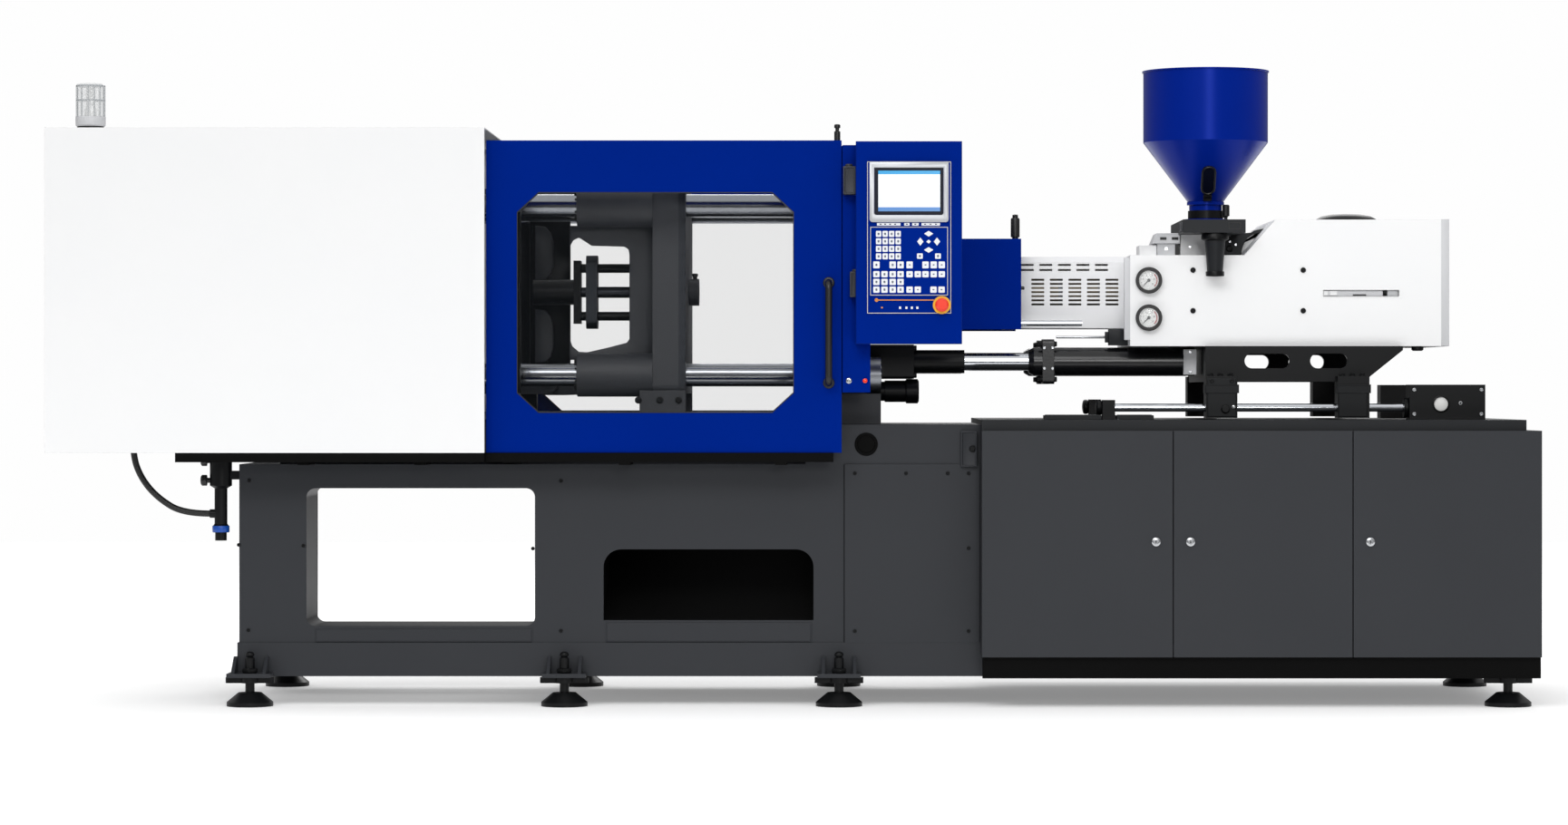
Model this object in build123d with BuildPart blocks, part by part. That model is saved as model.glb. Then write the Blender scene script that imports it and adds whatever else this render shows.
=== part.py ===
"""Injection moulding machine with a double toggle clamp.

X runs along the machine from the clamp to the injection unit, the operator stands on the -Y side and
Z is up. The origin is on the floor, under the middle of the machine. All sizes are in millimetres.
"""

from build123d import *
import os
from math import cos, radians, sin

os.makedirs("parts", exist_ok=True)

# Common values
running = 0.05  # radial clearance of a pin, rod or shaft that turns or slides in its bore
seat_gap = 0.3  # gap between two pieces that slide or swing past each other
clamp_axis = 1435  # height of the line through platens, nozzle and screw

# Bed and its feet
bed_left = -1919
bed_half_width = 450
bed_top = 831
bed_wall = 16
pedestal_left = 36  # left end of the raised part that carries the stationary platen
pedestal_top = 968
channel_bottom = 99
channel_top = 215
channel_step = 6  # how far the base channel stands out from the bed's walls
channel_width = 90
base_right = 2530
foot_places = (-1875, -793, 152, 2454)
foot_outset = 45  # foot centre from the channel's face
lug_half = 75
lug_reach = 92
lug_thickness = 14
gusset_place = 60
gusset_thickness = 12
gusset_height = 55
foot_screw_radius = 16
foot_screw_room = 3  # between a screw's top end and the cabinet above it
foot_screw_round = 6  # how much the screw's top end is rounded off
pad_radius = 80
pad_edge_height = 14
pad_height = 47
pad_neck_radius = 40
pad_socket_gap = 1  # radial gap between a pad's socket and its screw
pad_socket_depth = 7
wing_nut_thickness = 20
wing_span = 168

# Openings of the bed
tunnel_left = -1687
tunnel_right = -898
tunnel_bottom = 272
tunnel_top = 748
tunnel_corner = 31
tunnel_depth = 300
tunnel_lining = 10
rear_window_margin = 70
chute_left = -661
chute_right = 64
chute_bottom = 292
chute_top = 537
chute_corner = 61
chute_sheet = 6
chute_back_height = 640
chute_back = 300
drop_half_width = 285
drop_margin = 21
cable_hole_x = 246
cable_hole_z = 900
cable_hole_radius = 33

# Slideways on the bed
rail_left = -1790
rail_wall_top = 985
rail_strip_height = 24
rail_strip_width = 60
rail_strip_overhang = 5  # how far a strip stands out past its wall on each side

# Cabinet under the injection unit
cabinet_left = 641
cabinet_right = 2555
cabinet_front = -579.7
cabinet_back = 725
cabinet_bottom = 173
cabinet_top = 948
cabinet_sheet = 4
cabinet_frame = 30
cabinet_door_front = -600
cabinet_door_sheet = 3
door_seams = (1294.5, 1909)
door_gap = 4
lock_height = 568
lock_inset = 59
lock_radius = 15
lock_stand_out = 4
panel_left = 172
panel_thickness = 6
table_right = 2507
table_front = -570
table_top = 985

# Tie bars and platens
bar_radius = 40
bar_spacing = 590
bar_left = -1960
bar_right = 300
bar_nut_radius = 62
bar_nut_length = 50
platen_margin = 65  # from a tie bar's centre to the platen's edge
platen_corner = 30
fixed_face = 56
fixed_thickness = 192
locating_radius = 62.5
cone_radius = 150
cone_depth = 90
mould_bolt_spacing = 280
mould_bolt_radius = 8
mould_bolt_depth = 45
moving_face = -381
moving_thickness = 115
bush_radius = 76
bush_left = -760
platen_foot_lap = 10  # how far a foot reaches up into its platen
moving_foot_heel = 45  # how far the moving platen's foot reaches behind it
fixed_foot_inner = 230
fixed_foot_outer = 340
fixed_foot_heel = 50
tail_face = -1540
tail_thickness = 160

# Toggle: four equal links, straight when the clamp is closed
toggle_offset = 320  # toggle pins above and below the clamp axis
link_length = 283
front_pin_x = -880
link_half_width = 42
eye_radius = 46
main_pin_radius = 22
elbow_pin_radius = 20
inner_layer = (50, 88)  # rear links and moving platen lugs, from the centre plane
outer_layer = (92, 130)  # front links and tail platen lugs
pin_head = 3  # how far a pin stands out past the plates it joins
lug_margin = 5  # from a lug's outer edge to the platen's edge
moving_lug_root = 205  # height of a lug where it leaves the moving platen
moving_lug_neck = 60  # from the pin to where the lug starts to widen
moving_lug_knee = 90  # from the platen to the knee in the lug's inner edge
moving_lug_knee_rise = 40
tail_lug_root = 155
lug_web_height = 30
lug_web_rise = 280  # from the clamp axis to a web's underside
lug_web_start = 40  # from the bushes' ends to a web
lug_web_lap = 10
crosshead_link_length = 95
crosshead_link_angle = 10
crosshead_link_half = 26
crosshead_layer = (22, 46)
crosshead_pin_radius = 14
crosshead_half_thickness = 20
crosshead_half_length = 32
piston_rod_radius = 28
piston_rod_end = -2040
rod_room = 2  # radial room round the piston rod in the tail platen
piston_length = 40
guide_radius = 14
guide_offset = 110
guide_tip = -1222
clamp_cylinder_left = -2295
clamp_cylinder_radius = 95
clamp_cylinder_bore = 70
clamp_cap_length = 30
clamp_cap_rim = 15
clamp_flange_rim = 25
crosshead_hub_wall = 14

# Ejector on the moving platen
ejector_left = -935
ejector_radius = 45
ejector_flange = (-790, -765)
ejector_flange_half_height = 112
ejector_flange_half_width = 42
stay_radius = 16
stay_offset = 85
ejector_plate_x = (-745, -706)
ejector_plate_half_height = 130
ejector_plate_half_width = 55
ejector_rod_radius = 18
ejector_rod_end = -912
ejector_rod_room = 10  # free bore behind the rod's end
knock_out_radius = 20
knock_out_tip = -385
boss_radius = 48
boss_length = 36

# Guards
guard_outer = 600  # door and fixed guard faces, from the centre plane
guard_depth = 40
guard_sheet = 3
door_left = -1054
door_right = 161
door_bottom = 873
door_top = 1941
window_left = -949
window_right = -2
window_bottom = 1009
window_top = 1764
window_chamfer = (74, 68)
pane_lap = 18
pane_thickness = 5
handle_x = 117
handle_bottom = 1112
handle_top = 1454
handle_radius = 12
handle_reach = 56
handle_bend = 22
cover_left = -2555
cover_right = -1056
cover_ledge = 44  # how far the cover stands out past the door rails
cover_top = 1982
cover_sheet = 4
rail_arms = (-1700, -1300, -600, -67)
rail_arm_width = 40
rail_arm_seat = 20  # how far an arm reaches in over the bed's top
hose_bracket_half = 30
hose_bracket_thickness = 10
rail_beam_left = -2110
rail_beam_right = 133
rail_beam_outer = 606
rail_beam_inner = 560
rail_beam_bottom = 841
fixed_guard_left = 164
fixed_guard_right = 259
fixed_guard_bottom = 1079
fixed_guard_top = 1925
guard_stay_places = (1150, 1750)
guard_stay_half = 20

# Signal lamp
lamp_x = -2411
lamp_y = -570
lamp_base_height = 33
lamp_base_radius = 47
lamp_neck_radius = 22
lamp_neck_height = 8
lamp_lens_radius = 51
lamp_lens_height = 113
lamp_lens_step = 2  # from the base's edge to the lens
lamp_lens_bevel = 6
lamp_base_bevel = 4

# Control box
box_left = 209
box_right = 570
box_bottom = 1244
box_top = 1933
box_front = -690
box_edge = 3
panel_plate_left = 247
panel_plate_right = 533
panel_plate_bottom = 1347
panel_plate_top = 1864
panel_plate_thickness = 4
bezel_left = 256
bezel_right = 523.6
bezel_bottom = 1658
bezel_top = 1861
bezel_thickness = 7
screen_left = 272
screen_right = 506
screen_bottom = 1682
screen_top = 1843
screen_recess = 3
keypad_bottom = 1406.6
keypad_top = 1643.5
keypad_thickness = 2
stop_x = 500.8
stop_z = 1376
stop_collar_radius = 30
stop_collar_thickness = 12
stop_head_radius = 23
stop_head_thickness = 15
stop_neck_radius = 12
stop_travel = 4
stop_front = -725

# Injection unit: guide rods, carriage and its cylinders
guide_rod_y = 390
guide_rod_z = 1026
guide_rod_radius = 14
guide_rod_left = 1064
guide_rod_right = 2330
front_bracket = (1064, 1108)
front_bracket_half = 27
rear_bracket = (2124, 2386)
rear_bracket_half = 48
rear_bracket_top = 1106
rear_bracket_hole_x = 2233
rear_bracket_hole_radius = 24
rear_bracket_hole_rise = 13
carriage_left = 1425
carriage_right = 2111
carriage_top = 1240  # the housing stands on this deck
carriage_bottom = 1116
carriage_slope_x = 1974
carriage_plate_inner = 340
carriage_plate_outer = 365
carriage_deck = 14
carriage_slots = ((1561, 1718), (1789, 1919))
carriage_slot_bottom = 1163
carriage_slot_top = 1214
slide_block_lead = 4  # how far the left slide block starts before the carriage
slide_block_length = 109
rear_slide_block = (1877, 1987)
slide_block_bottom = 991
slide_block_outer = 430
slide_block_lap = 20
throat_left = 1356
throat_right = 1556
throat_half_width = 118
throat_top = 1632
throat_radius = 45
barrel_seat_left = 1340
barrel_seat_top = 1537
injection_web_half = 60
injection_cylinder_left = 1396
injection_rod_room = 15
cylinder_y = 180
cylinder_z = 1187
cylinder_radius = 50
cylinder_left = 907
cylinder_foot = 24  # a cylinder's foot, between its tube and the carriage
cylinder_gland = 818  # left end of the domed gland
gland_lip = 8
gland_bevel = 18
cylinder_flange = 157
cylinder_flange_thickness = 41
cylinder_flange_corner = 12
cylinder_foot_half_width = 35
cylinder_foot_half_height = 45
carriage_rod_radius = 31
carriage_rod_end = 1200
carriage_rod_room = 170  # free bore beyond the rod's end, for the forward travel
rod_sleeve = (415, 593)
rod_sleeve_radius = 41
rod_anchor_height = 120
rod_anchor_width = 96
rod_anchor_corner = 12
rod_seat = 10  # solid end of a sleeve, behind the rod

# Barrel, screw and drive
nozzle_tip = 330
nozzle_radius = 20
nozzle_length = 130
nozzle_bevel = 6
nozzle_bore_radius = 4
barrel_radius = 60
barrel_left = 500
barrel_bevel = 15
screw_radius = 22.5
screw_tip = 520
screw_tip_room = 20
screw_point_length = 45
screw_ring_step = 6  # how far the point's root lies inside the screw's radius
heater_places = (540, 680, 820, 960, 1100)
heater_length = 110
heater_thickness = 9
thrust_left = 1810
thrust_thickness = 60
thrust_half_width = 285
thrust_half_height = 85
motor_length = 170
injection_travel = 200
motor_radius = 100
injection_cylinder_y = 225
injection_cylinder_radius = 55
injection_cylinder_end = 1798
injection_rod_radius = 25
injection_rod_start = 1590
pointer_x = 1855
pointer_z = 1425
pointer_half_height = 8
pointer_reach = 4  # how far the pointer stands out of the housing
pointer_thickness = 6

# Covers of the injection unit
housing_left = 1166
housing_room = 35  # free space behind the motor with the screw drawn back
housing_low_top = 1557
housing_high_top = 1681
housing_slope = (1563, 1672)
housing_half_width = 330
housing_sheet = 3
throat_clearance = 8
housing_bore_room = 20
scale_slot = (1841, 2103)
scale_slot_bottom = 1414
scale_slot_top = 1436
gauge_x = 1230
gauge_heights = (1469, 1339)
gauge_radius = 45
gauge_depth = 22
gauge_rim = 4
gauge_dial_recess = 8
needle_length = 32
needle_width = 4
needle_thickness = 2
barrel_cover_left = 780
barrel_cover_half = 126
barrel_cover_bottom = 1305
barrel_cover_top = 1558
barrel_cover_bevel = 19
barrel_cover_sheet = 3
slot_width = 45
slot_height = 7
slot_pitch = 65.5
slot_columns = 5
slot_rows = 7
slot_row_pitch = 14.5
slot_first_x = 854
slot_middle_z = 1433
upper_slot_first_x = 817
upper_slot_rows = 2
upper_slot_row_pitch = 18
upper_slot_middle_z = 1520
nozzle_guard_left = 262
nozzle_guard_right = 791
nozzle_guard_half = 230
nozzle_guard_bottom = 1300
nozzle_guard_top = 1618
nozzle_guard_sheet = 3
guard_rod_y = 208
guard_rod_z = 1322
guard_rod_radius = 10
guard_rod_right = 1005
guard_shoe_length = 50
guard_shoe_half = 16
guard_shoe_gap = 1  # from a shoe's outer face to the guard's outer face
guard_knob_x = 771
guard_knob_y = -205
guard_knob_radius = 15
guard_knob_stem_radius = 7
guard_knob_stem_height = 22
guard_knob_height = 72
guard_knob_bevel = 4
guard_knob_flare = 8

# Hopper and its slide
hopper_x = 1457
hopper_radius = 221
hopper_wall = 3
hopper_rim = 2221
hopper_shoulder = 1967
hopper_outlet = 1756
hopper_outlet_radius = 63
hopper_neck_radius = 58
hopper_flange_width = 3
hopper_flange_thickness = 11
hopper_rim_width = 4
hopper_rim_height = 5
hopper_shoe_radius = 75
hopper_shoe_height = 17
slide_base_top = 1678
slide_base_corner = 20
slide_base_left = 1343
slide_base_right = 1559
slide_base_front = -425
slide_base_back = 118
discharge_y = -378
discharge_radius = 38
discharge_tip_radius = 26
discharge_bottom = 1482
discharge_wall = 4

# Services at the bed's left end
filter_x = -1985
filter_y = -430
filter_top = 868
filter_bottom = 567
filter_radius = 38
filter_drain_radius = 20
filter_drain_height = 28
filter_bowl_radius = 28
filter_bowl_height = 50
filter_neck_radius = 22
filter_neck_bevel = 8
filter_neck_height = 180
filter_head_bevel = 10
filter_cap_height = 20
filter_cap_bevel = 12
filter_lug_half = 14
filter_lug_top = 60  # from the filter's top down to its lug
filter_lug_height = 30
hose_socket_wall = 4
hose_radius = 11
hose_route = (
    (-2290, -430, 945),
    (-2290, -430, 862),
    (-2262, -430, 784),
    (-2206, -430, 716),
    (-2116, -430, 660),
    (-2023, -430, 660),
)

# Places worked out from the values above
cover_half_width = rail_beam_outer + cover_ledge
cylinder_right = carriage_left - cylinder_foot
slide_block_left = carriage_left - slide_block_lead
slide_blocks = ((slide_block_left, slide_block_left + slide_block_length), rear_slide_block)
channel_half = bed_half_width + channel_step
foot_y = channel_half + foot_outset
foot_screw_top = cabinet_bottom - foot_screw_room
gusset_top = channel_bottom + lug_thickness + gusset_height
platen_size = bar_spacing + 2 * platen_margin
rail_strip_outer = platen_size / 2
rail_strip_inner = rail_strip_outer - rail_strip_width
rail_wall_outer = rail_strip_outer - rail_strip_overhang
rail_wall_inner = rail_strip_inner + rail_strip_overhang
lug_outer = platen_size / 2 - lug_margin
fixed_back = fixed_face + fixed_thickness
moving_back = moving_face - moving_thickness
tail_back = tail_face - tail_thickness
tail_pin_x = front_pin_x - 2 * link_length
elbow_pin_x = front_pin_x - link_length
crosshead_x = tail_pin_x + 2 * crosshead_link_length * cos(radians(crosshead_link_angle))
crosshead_bend_x = tail_pin_x + crosshead_link_length * cos(radians(crosshead_link_angle))
crosshead_bend_drop = crosshead_link_length * sin(radians(crosshead_link_angle))
rail_strip_top = rail_wall_top + rail_strip_height
box_back = -guard_outer
plate_face = box_front - panel_plate_thickness
thrust_right = thrust_left + thrust_thickness
housing_right = thrust_right + motor_length + injection_travel + housing_room


def front(y):
    """A drawing plane that faces the operator, with X to the right and Z up, at the place y."""
    return Plane.XZ.offset(-y)


def side(x):
    """A drawing plane that faces right, with Y across and Z up, at the place x."""
    return Plane.YZ.offset(x)


def rectangle(low_u, high_u, low_v, high_v, mode=Mode.ADD):
    """A rectangle between four limits, in the sketch that is open."""
    with Locations(((low_u + high_u) / 2, (low_v + high_v) / 2)):
        Rectangle(high_u - low_u, high_v - low_v, mode=mode)


def block(low_x, high_x, low_y, high_y, low_z, high_z, mode=Mode.ADD):
    """A rectangular block between six limits."""
    with Locations(((low_x + high_x) / 2, (low_y + high_y) / 2, (low_z + high_z) / 2)):
        Box(high_x - low_x, high_y - low_y, high_z - low_z, mode=mode)


def mirrored_blocks(low_x, high_x, inner_y, outer_y, low_z, high_z, mode=Mode.ADD):
    """Two like blocks, one each side of the centre plane."""
    block(low_x, high_x, inner_y, outer_y, low_z, high_z, mode)
    block(low_x, high_x, -outer_y, -inner_y, low_z, high_z, mode)


def bar(low_x, high_x, y, z, radius, mode=Mode.ADD):
    """A round bar along X."""
    with Locations(((low_x + high_x) / 2, y, z)):
        Cylinder(radius, high_x - low_x, rotation=(0, 90, 0), mode=mode)


def upright(x, y, low_z, high_z, radius, mode=Mode.ADD):
    """A round bar along Z."""
    with Locations((x, y, (low_z + high_z) / 2)):
        Cylinder(radius, high_z - low_z, mode=mode)


def cross_bar(x, low_y, high_y, z, radius, mode=Mode.ADD):
    """A round bar along Y."""
    with Locations((x, (low_y + high_y) / 2, z)):
        Cylinder(radius, high_y - low_y, rotation=(90, 0, 0), mode=mode)


def pin_pair(place, inner_y, outer_y, radius, mode=Mode.ADD):
    """Two like pins along Y, one each side of the centre plane, at a place in X and Z."""
    for hand in (-1, 1):
        cross_bar(place[0], min(hand * inner_y, hand * outer_y), max(hand * inner_y, hand * outer_y), place[1],
                  radius, mode)


def turned_along_x(outline, y, z, mode=Mode.ADD):
    """A turned form about a line along X, from its half section as points of place and radius."""
    with BuildSketch(front(y)) as section:
        outline_face([(x, z + radius) for x, radius in outline])
    revolve(section.sketch, axis=Axis((0, y, z), (1, 0, 0)), mode=mode)


def turned_along_z(outline, x, y, mode=Mode.ADD):
    """A turned form about an upright line, from its half section as points of radius and height."""
    with BuildSketch(front(y)) as section:
        outline_face([(x + radius, height) for radius, height in outline])
    revolve(section.sketch, axis=Axis((x, y, 0), (0, 0, 1)), mode=mode)


def outline_face(points):
    """A face bounded by straight lines, in the sketch that is open."""
    with BuildLine() as edge:
        Polyline(*points, close=True)
    make_face(edge.edges())


def corner_places():
    """The four tie bar centres in Y and Z."""
    half = bar_spacing / 2
    return [(y, clamp_axis + z) for y in (-half, half) for z in (-half, half)]


# Bed: a welded box on a base channel, with a raised pedestal for the stationary platen

def bed_side(inset):
    """Side outline of the bed body, or of its hollow when set in by the wall."""
    return (
        (bed_left + inset, channel_top),
        (cabinet_left - inset, channel_top),
        (cabinet_left - inset, pedestal_top - inset),
        (pedestal_left + inset, pedestal_top - inset),
        (pedestal_left + inset, bed_top - inset),
        (bed_left + inset, bed_top - inset),
    )


def base_ring(right, bottom, top):
    """A rectangular ring of channel round the base."""
    left = bed_left - channel_step
    with BuildSketch(Plane.XY.offset(bottom)) as ring:
        rectangle(left, right, -channel_half, channel_half)
        rectangle(left + channel_width, right - channel_width, channel_width - channel_half,
                  channel_half - channel_width, mode=Mode.SUBTRACT)
    extrude(ring.sketch, amount=top - bottom)


with BuildPart() as bed:
    base_ring(base_right, channel_bottom, cabinet_bottom)
    base_ring(cabinet_left, cabinet_bottom, channel_top)
    with BuildSketch(Plane.XZ):
        outline_face(bed_side(0))
    extrude(amount=bed_half_width, both=True)
    with BuildSketch(Plane.XZ):
        outline_face(bed_side(bed_wall))
    extrude(amount=bed_half_width - bed_wall, both=True, mode=Mode.SUBTRACT)
    mirrored_blocks(rail_left, pedestal_left, rail_wall_inner, rail_wall_outer, bed_top, rail_wall_top)
    # where moulded parts drop through the top into the chute
    block(chute_left + drop_margin, pedestal_left - drop_margin, -drop_half_width, drop_half_width,
          bed_top - bed_wall, bed_top, mode=Mode.SUBTRACT)
    # lined opening through the bed, wider in the rear wall
    tunnel_middle = ((tunnel_left + tunnel_right) / 2, (tunnel_bottom + tunnel_top) / 2)
    tunnel_size = (tunnel_right - tunnel_left, tunnel_top - tunnel_bottom)
    with BuildSketch(front(tunnel_depth - bed_half_width)):
        with Locations(tunnel_middle):
            RectangleRounded(tunnel_size[0] + 2 * tunnel_lining, tunnel_size[1] + 2 * tunnel_lining,
                             tunnel_corner + tunnel_lining)
    extrude(amount=tunnel_depth)
    with BuildSketch(front(tunnel_depth - bed_half_width)):
        with Locations(tunnel_middle):
            RectangleRounded(tunnel_size[0], tunnel_size[1], tunnel_corner)
    extrude(amount=tunnel_depth, mode=Mode.SUBTRACT)
    with BuildSketch(front(bed_half_width)):
        with Locations(tunnel_middle):
            Rectangle(tunnel_size[0] + 2 * rear_window_margin, tunnel_size[1] + rear_window_margin)
    extrude(amount=bed_wall, mode=Mode.SUBTRACT)
    # mouth of the parts chute, rounded at its top corners
    with BuildSketch(front(bed_wall - bed_half_width)):
        rectangle(chute_left, chute_right, chute_bottom, chute_top - chute_corner)
        rectangle(chute_left + chute_corner, chute_right - chute_corner, chute_top - chute_corner, chute_top)
        with Locations((chute_left + chute_corner, chute_top - chute_corner),
                       (chute_right - chute_corner, chute_top - chute_corner)):
            Circle(chute_corner)
    extrude(amount=bed_wall, mode=Mode.SUBTRACT)
    cross_bar(cable_hole_x, -bed_half_width, bed_wall - bed_half_width, cable_hole_z, cable_hole_radius,
              mode=Mode.SUBTRACT)
    # foot lugs, each with two gussets
    for foot_x in foot_places:
        mirrored_blocks(foot_x - lug_half, foot_x + lug_half, channel_half, channel_half + lug_reach,
                        channel_bottom, channel_bottom + lug_thickness)
        for hand in (-1, 1):
            for gusset_x in (foot_x - gusset_place, foot_x + gusset_place - gusset_thickness):
                with BuildSketch(side(gusset_x)):
                    outline_face((
                        (hand * channel_half, channel_bottom + lug_thickness),
                        (hand * (channel_half + lug_reach), channel_bottom + lug_thickness),
                        (hand * (channel_half + foot_screw_radius), gusset_top),
                        (hand * channel_half, gusset_top),
                    ))
                extrude(amount=gusset_thickness)
            upright(foot_x, hand * foot_y, channel_bottom, channel_bottom + lug_thickness,
                    foot_screw_radius + pad_socket_gap, mode=Mode.SUBTRACT)
bed.part.label = "bed"
export_step(bed.part, "parts/bed.step")

# Parts chute: a sloping sheet between two cheeks, from under the mould to the bed's front wall
chute_front_y = bed_wall - bed_half_width
with BuildPart() as parts_chute:
    with BuildSketch(side(chute_left - chute_sheet)):
        outline_face((
            (chute_front_y, chute_bottom - chute_sheet),
            (chute_back, chute_back_height - chute_sheet),
            (chute_back, bed_top - bed_wall),
            (chute_front_y, bed_top - bed_wall),
        ))
    extrude(amount=chute_right - chute_left + 2 * chute_sheet)
    with BuildSketch(side(chute_left)):
        outline_face((
            (chute_front_y, chute_bottom),
            (chute_back, chute_back_height),
            (chute_back, bed_top - bed_wall),
            (chute_front_y, bed_top - bed_wall),
        ))
    extrude(amount=chute_right - chute_left, mode=Mode.SUBTRACT)
parts_chute.part.label = "parts_chute"
export_step(parts_chute.part, "parts/parts_chute.step")

# Hardened strips that the sliding platens stand on
with BuildPart() as bed_rails:
    mirrored_blocks(rail_left, pedestal_left, rail_strip_inner, rail_strip_outer, rail_wall_top, rail_strip_top)
bed_rails.part.label = "bed_rails"
export_step(bed_rails.part, "parts/bed_rails.step")

# Levelling feet: a turned pad, and a screw with its wing nut under the lug
foot_centres = [(foot_x, hand * foot_y) for foot_x in foot_places for hand in (-1, 1)]
with BuildPart() as foot_pads:
    for foot_x, y in foot_centres:
        turned_along_z((
            (0, 0),
            (pad_radius, 0),
            (pad_radius, pad_edge_height),
            (pad_neck_radius, pad_height),
            (foot_screw_radius + pad_socket_gap, pad_height),
            (foot_screw_radius + pad_socket_gap, pad_height - pad_socket_depth),
            (0, pad_height - pad_socket_depth),
        ), foot_x, y)
foot_pads.part.label = "foot_pads"
export_step(foot_pads.part, "parts/foot_pads.step")

with BuildPart() as foot_screws:
    for foot_x, y in foot_centres:
        turned_along_z((
            (0, pad_height - pad_socket_depth),
            (foot_screw_radius, pad_height - pad_socket_depth),
            (foot_screw_radius, foot_screw_top - foot_screw_round),
            (foot_screw_radius - foot_screw_round, foot_screw_top),
            (0, foot_screw_top),
        ), foot_x, y)
    for foot_x, y in foot_centres:
        with BuildSketch(Plane.XY.offset(channel_bottom - wing_nut_thickness)):
            with Locations((foot_x, y)):
                Circle(foot_screw_radius * 2)
                SlotOverall(wing_span, foot_screw_radius * 1.5)
                Circle(foot_screw_radius + running, mode=Mode.SUBTRACT)
        extrude(amount=wing_nut_thickness)
foot_screws.part.label = "foot_screws"
export_step(foot_screws.part, "parts/foot_screws.step")

# Plain bolted panel between the chute and the cabinet
with BuildPart() as access_panel:
    with BuildSketch(front(-bed_half_width)):
        rectangle(panel_left, cabinet_left - door_gap, channel_top, bed_top)
    extrude(amount=panel_thickness)
access_panel.part.label = "access_panel"
export_step(access_panel.part, "parts/access_panel.step")

# Cabinet: sheet-metal housing with three bays behind its doors
bay_edges = (cabinet_left, *door_seams, cabinet_right)
with BuildPart() as cabinet:
    block(cabinet_left, cabinet_right, cabinet_front, cabinet_back, cabinet_bottom, cabinet_top)
    block(cabinet_left + cabinet_sheet, cabinet_right - cabinet_sheet, cabinet_front + cabinet_frame,
          cabinet_back - cabinet_sheet, cabinet_bottom + cabinet_sheet, cabinet_top - cabinet_sheet,
          mode=Mode.SUBTRACT)
    for bay in range(3):
        block(bay_edges[bay] + cabinet_frame, bay_edges[bay + 1] - cabinet_frame, cabinet_front,
              cabinet_front + cabinet_frame, cabinet_bottom + cabinet_frame, cabinet_top - cabinet_frame,
              mode=Mode.SUBTRACT)
cabinet.part.label = "cabinet"
export_step(cabinet.part, "parts/cabinet.step")

# Cabinet doors: folded pans, each with a quarter-turn lock. The first is hinged left, the others right.
lock_places = (door_seams[0] - lock_inset, door_seams[0] + lock_inset, door_seams[1] + lock_inset)
for number in range(3):
    left = bay_edges[number] + (door_gap / 2 if number else 0)
    right = bay_edges[number + 1] - (door_gap / 2 if number < 2 else 0)
    back = cabinet_front - seat_gap
    with BuildPart() as cabinet_door:
        with BuildSketch(front(back)):
            rectangle(left, right, cabinet_bottom, cabinet_top)
        extrude(amount=back - cabinet_door_front)
        with BuildSketch(front(back)):
            sheet = cabinet_door_sheet
            rectangle(left + sheet, right - sheet, cabinet_bottom + sheet, cabinet_top - sheet)
        extrude(amount=back - cabinet_door_front - cabinet_door_sheet, mode=Mode.SUBTRACT)
        cross_bar(lock_places[number], cabinet_door_front - lock_stand_out, back, lock_height, lock_radius)
    cabinet_door.part.label = f"cabinet_door_{number + 1}"
    export_step(cabinet_door.part, f"parts/cabinet_door_{number + 1}.step")

# Table plate on the cabinet
with BuildPart() as table_plate:
    block(cabinet_left, table_right, table_front, -table_front, cabinet_top, table_top)
table_plate.part.label = "table_plate"
export_step(table_plate.part, "parts/table_plate.step")


# Platens: thick castings, bored at the corners for the tie bars

def platen_plate(low_x, thickness):
    """The square plate of a platen with its four tie bar bores."""
    with BuildSketch(side(low_x)) as plate:
        with Locations((0, clamp_axis)):
            RectangleRounded(platen_size, platen_size, platen_corner)
        with Locations(*corner_places()):
            Circle(bar_radius + running, mode=Mode.SUBTRACT)
    extrude(plate.sketch, amount=thickness)


def mould_bolt_holes(face_x, depth):
    """Four tapped holes for the mould in a platen's face; a negative depth drills towards -X."""
    with BuildSketch(side(face_x)) as holes:
        with Locations((0, clamp_axis)):
            with GridLocations(mould_bolt_spacing, mould_bolt_spacing, 2, 2):
                Circle(mould_bolt_radius)
    extrude(holes.sketch, amount=depth, mode=Mode.SUBTRACT)


platen_bottom = clamp_axis - platen_size / 2
with BuildPart() as stationary_platen:
    platen_plate(fixed_face, fixed_thickness)
    bar(fixed_face, fixed_back, 0, clamp_axis, locating_radius, mode=Mode.SUBTRACT)
    turned_along_x((
        (fixed_back - cone_depth, 0),
        (fixed_back - cone_depth, locating_radius),
        (fixed_back, cone_radius),
        (fixed_back, 0),
    ), 0, clamp_axis, mode=Mode.SUBTRACT)
    mould_bolt_holes(fixed_face, mould_bolt_depth)
    mirrored_blocks(fixed_face, fixed_back + fixed_foot_heel, fixed_foot_inner, fixed_foot_outer, pedestal_top,
                    platen_bottom)
stationary_platen.part.label = "stationary_platen"
export_step(stationary_platen.part, "parts/stationary_platen.step")

with BuildPart() as tie_bars:
    for y, z in corner_places():
        bar(bar_left, bar_right, y, z, bar_radius)
tie_bars.part.label = "tie_bars"
export_step(tie_bars.part, "parts/tie_bars.step")

with BuildPart() as tie_bar_nuts:
    for y, z in corner_places():
        bar(fixed_back, fixed_back + bar_nut_length, y, z, bar_nut_radius)
        bar(fixed_back, fixed_back + bar_nut_length, y, z, bar_radius + running, mode=Mode.SUBTRACT)
tie_bar_nuts.part.label = "tie_bar_nuts"
export_step(tie_bar_nuts.part, "parts/tie_bar_nuts.step")


def toggle_pin(x, level):
    """A toggle pin's place in X and Z, above (1) or below (-1) the clamp axis."""
    return x, clamp_axis + level * toggle_offset


def crosshead_bend(level):
    """Place in X and Z of the pin between a rear link and its crosshead link."""
    return crosshead_bend_x, clamp_axis + level * (toggle_offset - crosshead_bend_drop)


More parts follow.
